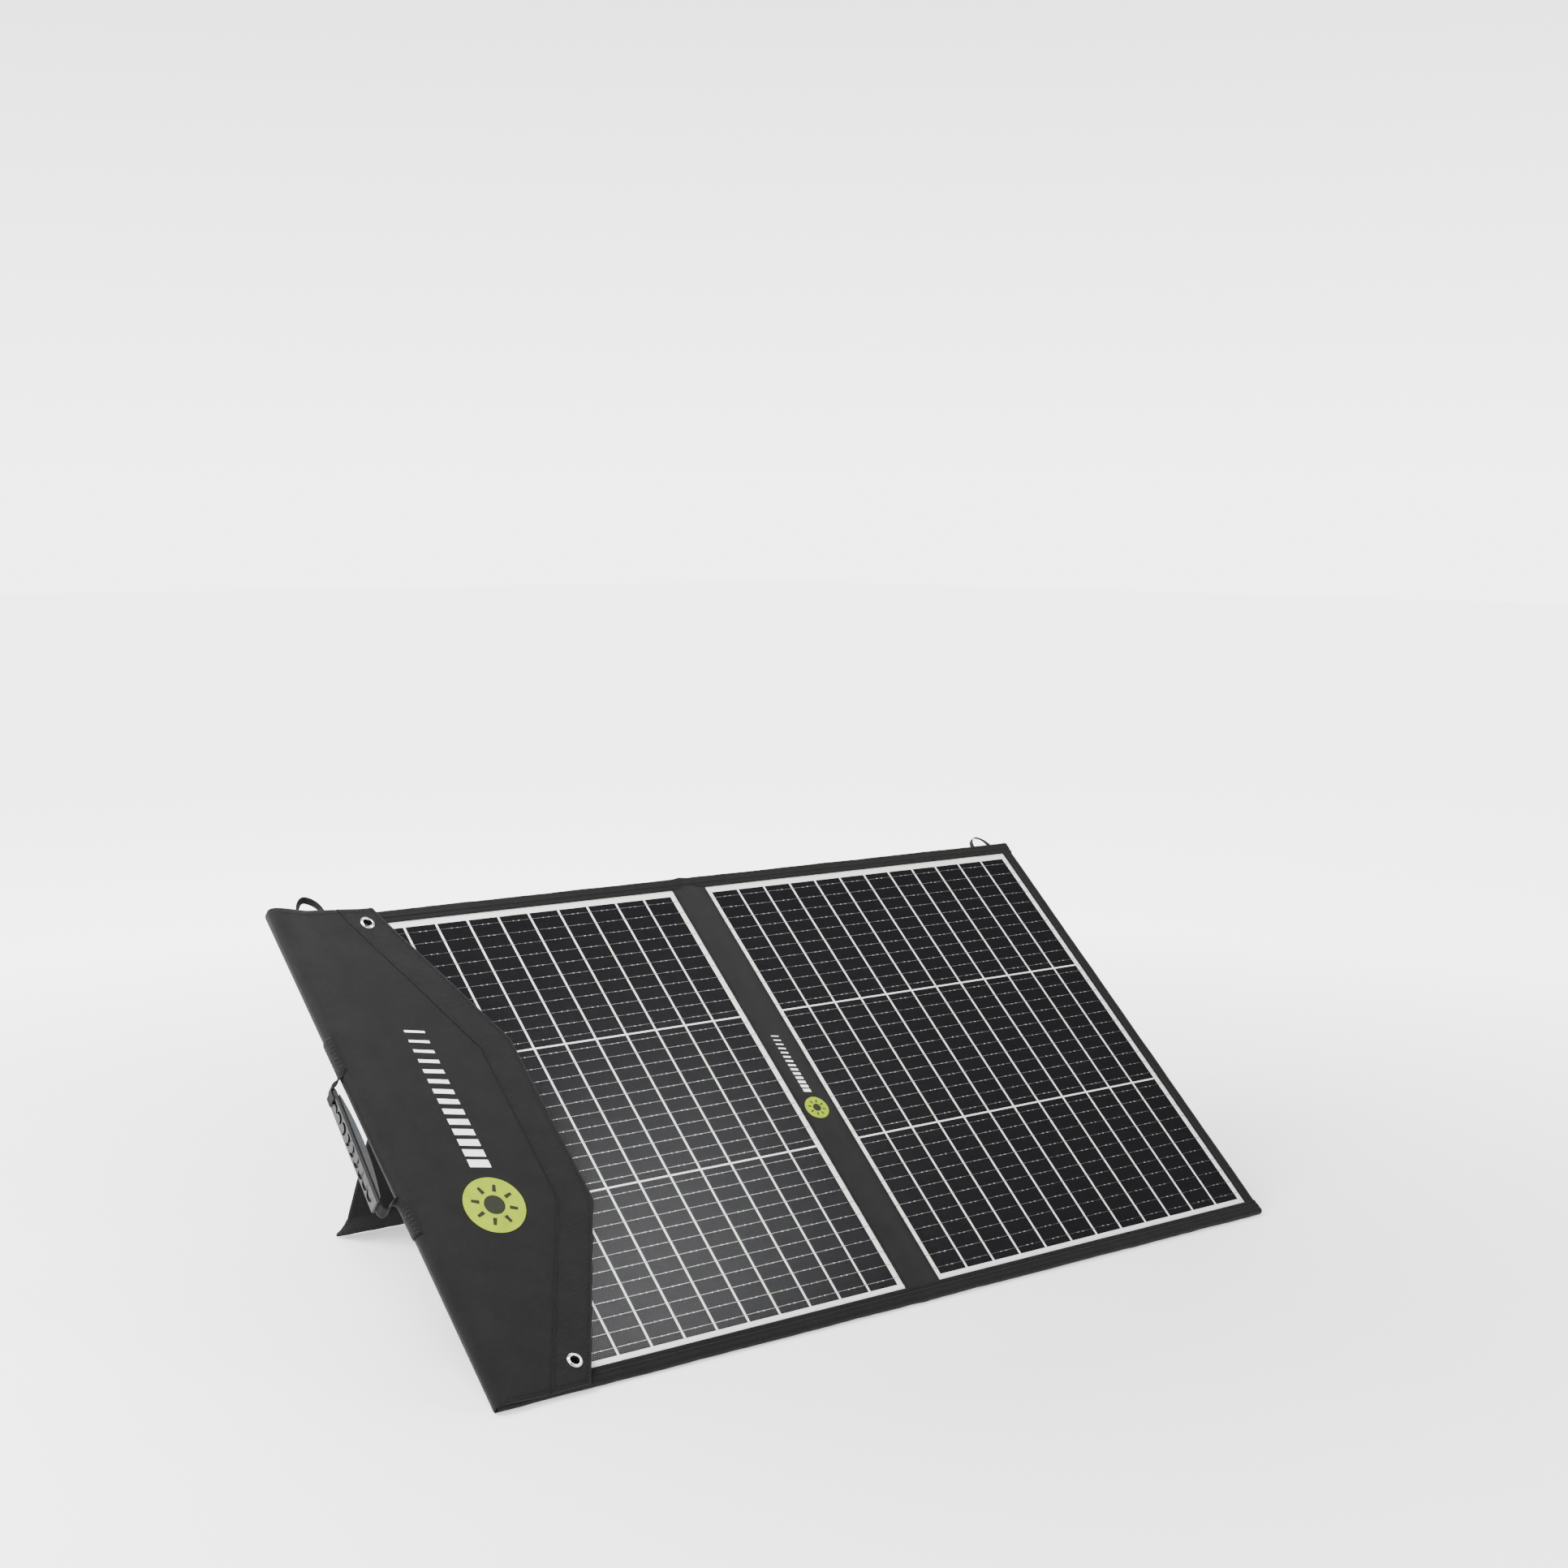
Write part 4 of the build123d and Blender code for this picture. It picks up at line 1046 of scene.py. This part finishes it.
SPINE_DISC, SPINE_BARS = (-2.5, 254, 14.5), (-2.5, 275, 361, 9)
SPINE_LEVELS = ((-0.3, 0.14), (-0.1, 0.24), (-0.3, 0.14))
spine_marks = printed("spine", SPINE_DISC, SPINE_BARS, SPINE_LEVELS, spine_height)
for piece in spine_marks:
    spine_blend(piece)
    dress(piece, "bag_fabric")

# ---- corner loops ----
LOOP_HALF = 4
# Points of a loop: share of its width and shift, share of its height and shift.
LOOP = (
    (-1 / 2, 1, 0, -5), (-1 / 2, 0.5, 0, 1.5), (-1 / 3, 0, 0.66, 0), (-0.04, 0, 1, -0.7),
    (1 / 3.2, 0, 0.68, 0), (1 / 2, -0.8, 0, 1.5), (1 / 2, -1.2, 0, -5),
)
LOOPS = (("left", -478.5, 34, 28.5, 0.5), ("right", 477.5, 29, 16, -0.45))
for side, middle_x, wide, high, twist in LOOPS:
    path = curve([(middle_x + wide * a + b, HEIGHT + high * c + d) for a, b, c, d in LOOP], 44)
    way = np.gradient(path, axis=0)
    way /= np.linalg.norm(way, axis=1, keepdims=True)
    share = np.linspace(0, 1, len(path))[:, None]
    turn = twist * np.sin(share * math.pi) + 0.25 * np.sin(share * 2 * math.pi)
    across = np.linspace(-LOOP_HALF, LOOP_HALF, 9)
    x = path[:, 0:1] - way[:, 1:2] * np.sin(turn) * across
    y = path[:, 1:2] + way[:, 0:1] * np.sin(turn) * across
    piece = cloth(f"{side}_loop_tape", (x, y, -1.8 + np.cos(turn) * across), 0.9, loop_tape)
    dress(piece, "webbing", f"{side}_corner_loop", body=f"{side}_panel")

# ---- carry strap ----
# x, y, and how far the strap follows the fold (1) or hangs free (0).
STRAP_PATH = (
    (-530.6, 437, 1), (-530.6, 420, 1), (-530.6, 403, 1), (-531, 395.5, 0.97),
    (-533.2, 391, 0.55), (-537.4, 388.4, 0.18), (-541.6, 385.4, 0), (-543, 381.8, 0),
    (-542.4, 378.4, 0), (-541.8, 374, 0),
    (-543.4, 345, 0), (-545.4, 308, 0), (-547.4, 272, 0), (-549, 241.5, 0),
    (-549.2, 236.2, 0), (-547.2, 232.2, 0), (-543.6, 231, 0), (-540.4, 233.2, 0.04),
    (-537.2, 237.6, 0.1), (-534.2, 240.6, 0.3), (-531.8, 238.6, 0.62), (-530.9, 232.4, 0.92),
    (-530.6, 224, 1), (-530.6, 210, 1), (-530.6, 193, 1),
)
STRAP_W = 16
# Heights of the strap's middle over the fold, and of its stitches.
STRAP_LIFT, ZIGZAG_LIFT = 0.95, 1.62
GRIP_Z = -5.5


def on_fold(y, arc):
    """x and z on the fold's outer face, an arc away from its outermost line, and the way out."""
    line = outer[flap_row(y), : FOLD_COLUMNS + 2][:, [0, 2]]
    gone = distances(line)
    here = gone[int(np.argmin(line[:, 0]))] + 1.5 + arc
    spot, ahead = np.stack([np.interp([here, here + 0.5], gone, line[:, k]) for k in (0, 1)], -1)
    way = (ahead - spot) / max(np.linalg.norm(ahead - spot), 1e-6)
    return spot, np.array([-way[1], way[0]])


strap_line = curve(STRAP_PATH, 170)
across = np.linspace(-STRAP_W / 2, STRAP_W / 2, 15)
surface = np.zeros((len(strap_line), len(across), 3))
for i, (x, y, share) in enumerate(strap_line):
    share = min(1, max(0, share))
    for j, w in enumerate(across):
        spot, away = on_fold(y, w)
        free = np.array([x, GRIP_Z + w])
        strap_x, strap_z = share * (spot + away * STRAP_LIFT) + (1 - share) * free
        surface[i, j] = (strap_x, y, strap_z)
# The upper end is turned over the end of the grip's outer half.
TURNED_OVER = (
    (-541.7, 375), (-541.9, 377.6), (-543.2, 379), (-545.2, 379.1), (-546.6, 377.9),
    (-546.95, 375.5), (-547.15, 371.5), (-547.4, 367),
)
over = curve(TURNED_OVER, 30)
tail = points_of(over[:, 0:1], over[:, 1:2], GRIP_Z + across * 0.97)
carry = add("carry_webbing", *joined([thick(surface, 1.4), thick(tail, 1.2)]), webbing)
flap_blend(carry)
dress(carry, "webbing", "carry_strap")

# Zigzag rows where the webbing is sewn down: height of a leg, its points, and half the width.
LEG, LEG_POINTS, ZIGZAG_HALF = 2.4, 5, 6
rows = []
for y0, y1 in ((396, 434), (196, 226)):
    count = int((y1 - y0) / LEG) * LEG_POINTS
    line = []
    for step in range(count + 1):
        y = y0 + (y1 - y0) * step / count
        swing = abs((step / LEG_POINTS) % 2 - 1) * 2 - 1
        spot, away = on_fold(y, swing * ZIGZAG_HALF)
        x, z = spot + away * ZIGZAG_LIFT
        line.append((x, y, z))
    rows.append((np.array(line), (-0.9, 0, 0.44)))
piece = add("strap_stitches", *stitching(rows, 0.3), pale_thread)
flap_blend(piece)
dress(piece, "webbing")

# ---- stands ----
STAND_T, FOOT_T = 4, 2.8
STAND_LENGTH, FOOT_DOWN, FOOT_OUT = 345.9, 39.47, 14.36
FOOT_END = STAND_LENGTH + FOOT_DOWN
FLARE_FROM = STAND_LENGTH - 2
STAND_X = {"left": -263.5, "right": 263.5}
# The hinge's tape on the bag's rear, in y and z, and on a stand.
TAPE_ON_BAG = ((548, -7.1), (540, -7.2), (531, -7.3), (525.5, -8.4))
TAPE_ON_STAND = ((0, 1, 4.2), (0, 7, 3), (0, 15, 2.85), (0, 24, 2.8))
# The limiter on the bag's rear, in y and z, its free run, and its end on a stand.
LIMITER_ON_BAG = ((132, -7), (142, -7.05), (149, -7.8))
LIMITER_RUN = (0.03, 0.08, 0.2, 0.4, 0.6, 0.8, 0.92, 0.97)
LIMITER_ON_STAND = ((0, 244, -3.1), (0, 252, -2.75), (0, 266, -2.7))
stand_x = stations(-STAND_W / 2, STAND_W / 2, 7)
stand_y = np.unique(
    np.concatenate([stations(2, FOOT_END, 8), np.linspace(FLARE_FROM - 8, FOOT_END - 1.2, 16)])
)


def stand_middle(x, y, seed):
    """Height of the stand's middle surface: flat on its board, then flaring into the soft foot."""
    share = np.clip((y - FLARE_FROM) / (FOOT_END - FLARE_FROM), 0, 1)
    soft = np.clip((y - STAND_LENGTH) / 20, 0, 1)
    return FOOT_OUT * share**1.5 + soft * ripple(x, seed, 150) * 0.9


def stiffness(y):
    """One on the stand's board, falling to nothing in its soft foot."""
    return 1 - np.clip((y - STAND_LENGTH) / 16, 0, 1)


def stand_thickness(y):
    return STAND_T * stiffness(y) + FOOT_T * (1 - stiffness(y))


def stand_cover(side, seed):
    """The cloth round a stand's board, with piping on its edges and a seam above the foot."""
    x, y = np.meshgrid(stand_x, stand_y)
    sag = np.abs(ripple(x + 0.5 * y, seed + 1, 190) * 0.18) * stiffness(y)
    roll = 1.2 * ridge(y, FOOT_END - 5, 4)
    seam = -1.3 * ridge(y, STAND_LENGTH + 2, 1.6)
    gap = np.minimum.reduce([x + STAND_W / 2, STAND_W / 2 - x, y - 2])
    piping = 0.9 * ridge(gap, 2.6, 2) - 0.5 * ridge(gap, 7, 1.5)
    # The extra thickness is all on the rear, so that the front stays flat against the bag.
    extra = roll + seam + piping
    z = stand_middle(x, y, seed) + sag + extra / 2
    thickness = stand_thickness(y) + extra
    piece = cloth(f"{side}_stand_cover", (x, y, z), thickness, stand_cloth_painted_shade, STANDS[side])
    nodes = [f"{side}_stand_{kind}" for kind in ("rear_cover", "front_cover", "foot")]
    dress(piece, "bag_fabric", *nodes, body=f"{side}_stand")


def stand_stitches(side, seed):
    """Rows down both edges and across the stand, on its rear and its front."""
    rows = []
    for way, lift in ((1, OUT), (-1, IN)):
        for x in (-STAND_W / 2 + 7, STAND_W / 2 - 7):
            y = np.linspace(8, FOOT_END - 6, 60)
            z = stand_middle(x, y, seed) + way * (stand_thickness(y) / 2 - 0.25) + 0.2
            rows.append((points_of(x, y, z), lift))
        for y, half in ((9, 1.75), (STAND_LENGTH + 2, 1.15), (FOOT_END - 9.5, 1.45)):
            x = np.linspace(-STAND_W / 2 + 8, STAND_W / 2 - 8, 40)
            rows.append((points_of(x, y, stand_middle(x, y, seed) + way * half + 0.2), lift))
    piece = add(f"{side}_stand_stitches", *stitching(rows, 0.35), thread, STANDS[side])
    dress(piece, "bag_fabric", body=f"{side}_stand")


def hinge_tape(side, seed):
    """Tape from the bag's rear over the stand's upper edge to its rear face, and its stitches."""
    middle_x, stand = STAND_X[side], STANDS[side]
    path = curve([*TAPE_ON_BAG, *seen_from_panel(TAPE_ON_STAND, stand)[:, 1:]], 40)
    x = stations(middle_x - STAND_W / 2 + 2, middle_x + STAND_W / 2 - 2, 8)
    z = path[:, 1:2] + ripple(x, seed + 4, 60) * 0.12
    tape = cloth(f"{side}_hinge_webbing", (x, path[:, 0:1], z), 1, webbing)
    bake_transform(tape)
    dress(tape, "webbing", f"{side}_stand_hinge_tape")
    low, high = middle_x - STAND_W / 2 + 5, middle_x + STAND_W / 2 - 5
    rows = [straight(low, y, high, y, -7.75, IN) for y in (534, 545)]
    piece = add(f"{side}_hinge_stitches", *stitching(rows), thread)
    dress(piece, "webbing", body=f"{side}_panel")


def limiter(side):
    """Strap that holds the stand open, lying on the bag's rear at one end and on the stand at the other."""
    end = seen_from_panel(LIMITER_ON_STAND, STANDS[side])[:, 1:]
    first = np.array(LIMITER_ON_BAG[-1])
    run = [first + (end[0] - first) * share for share in LIMITER_RUN]
    path = curve([*LIMITER_ON_BAG, *run, *end], 60)
    x = STAND_X[side] + np.linspace(-10, 10, 9)
    surface = (x, path[:, 0:1], path[:, 1:2])
    piece = cloth(f"{side}_limiter_webbing", surface, 1.3, webbing)
    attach(piece, f"{side}_panel")
    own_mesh(piece)
    dress(piece, "webbing", f"{side}_stand_limiter")


for side, seed in (("left", 71), ("right", 81)):
    stand_cover(side, seed)
    stand_stitches(side, seed)
    hinge_tape(side, seed)
    limiter(side)

x, y = np.meshgrid(stations(STAND_W / 2 - 34.5, STAND_W / 2 - 9.5, 3), stations(131, 311, 4))
z = 2.75 + ripple(x * 3 + y, 91, 9) * 0.06
loop_strip = cloth("loop_tape_strip", (x, y, z), 1, hook_tape, STANDS["right"])
dress(loop_strip, "hook_loop", "flap_loop_strip", body="right_stand")

# ---- floor and light ----
FLOOR = ((-14, -8, 0), (20, -8, 0), (20, 26, 0), (-14, 26, 0))
FLOOR_TONES = [(0.3, (0.84, 0.84, 0.84)), (0.7, (0.87, 0.87, 0.87))]
SKY_TONES = [(0.02, (1, 1, 1)), (0.28, (0.5, 0.5, 0.5)), (0.5, (0.03, 0.03, 0.031))]
SKY_STRENGTH = 4.8

floor_look, tree, shader, flat = start("floor_look", 0.0)
# The floor glows with painted light, which grows with the distance from the part, in metres, so that a painted
# shadow lies round the part.
here = node(tree, "TexCoord", {}).outputs["Object"]
from_part = node(tree, "VectorMath", {0: here}, operation="LENGTH").outputs["Value"]
inputs = {
    "Base Color": shade(tree, noise(tree, flat, 400.0, 2.0), FLOOR_TONES),
    "Roughness": 0.7,
    "Emission Color": (1, 1, 1, 1),
    "Emission Strength": spread(tree, from_part, 0.75, 3.8, 0.5, 2.2),
}
put(tree, shader, inputs)
floor_mesh = bpy.data.meshes.new("floor")
floor_mesh.from_pydata(FLOOR, [], [(0, 1, 2, 3)])
floor_mesh.materials.append(floor_look)
floor = bpy.data.objects.new("floor", floor_mesh)
bpy.context.scene.collection.objects.link(floor)
floor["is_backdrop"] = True

world = bpy.data.worlds.new("studio")
bpy.context.scene.world = world
world.use_nodes = True
sky = world.node_tree
direction = node(sky, "TexCoord", {}).outputs["Generated"]
height = node(sky, "SeparateXYZ", {0: direction}).outputs["Z"]
glow = {"Color": shade(sky, height, SKY_TONES), "Strength": SKY_STRENGTH}
put(sky, sky.nodes["Background"], glow)


def softbox(name, centre, target, width, height, power):
    """A rectangular light at a centre, facing a target."""
    light = bpy.data.lights.new(name, "AREA")
    light.shape = "RECTANGLE"
    light.size, light.size_y, light.energy = width, height, power
    looking(name, light, centre, Vector(target) - Vector(centre))


softbox("key", (-2.6, -1.5, 3.2), (-0.3, 0, 0.2), 2.0, 2.0, 115)
softbox("near", (-1.1, 0.25, 1.4), (-0.42, 0.15, 0.3), 0.8, 0.8, 52)
softbox("gleam", (0.98, -0.74, 2.15), (-0.25, -0.2, 0.1), 0.5, 0.5, 15.5)
softbox("rim", (0.4, 2.6, 2.8), (0, 0, 0.2), 2.6, 1.2, 100)

low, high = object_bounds()
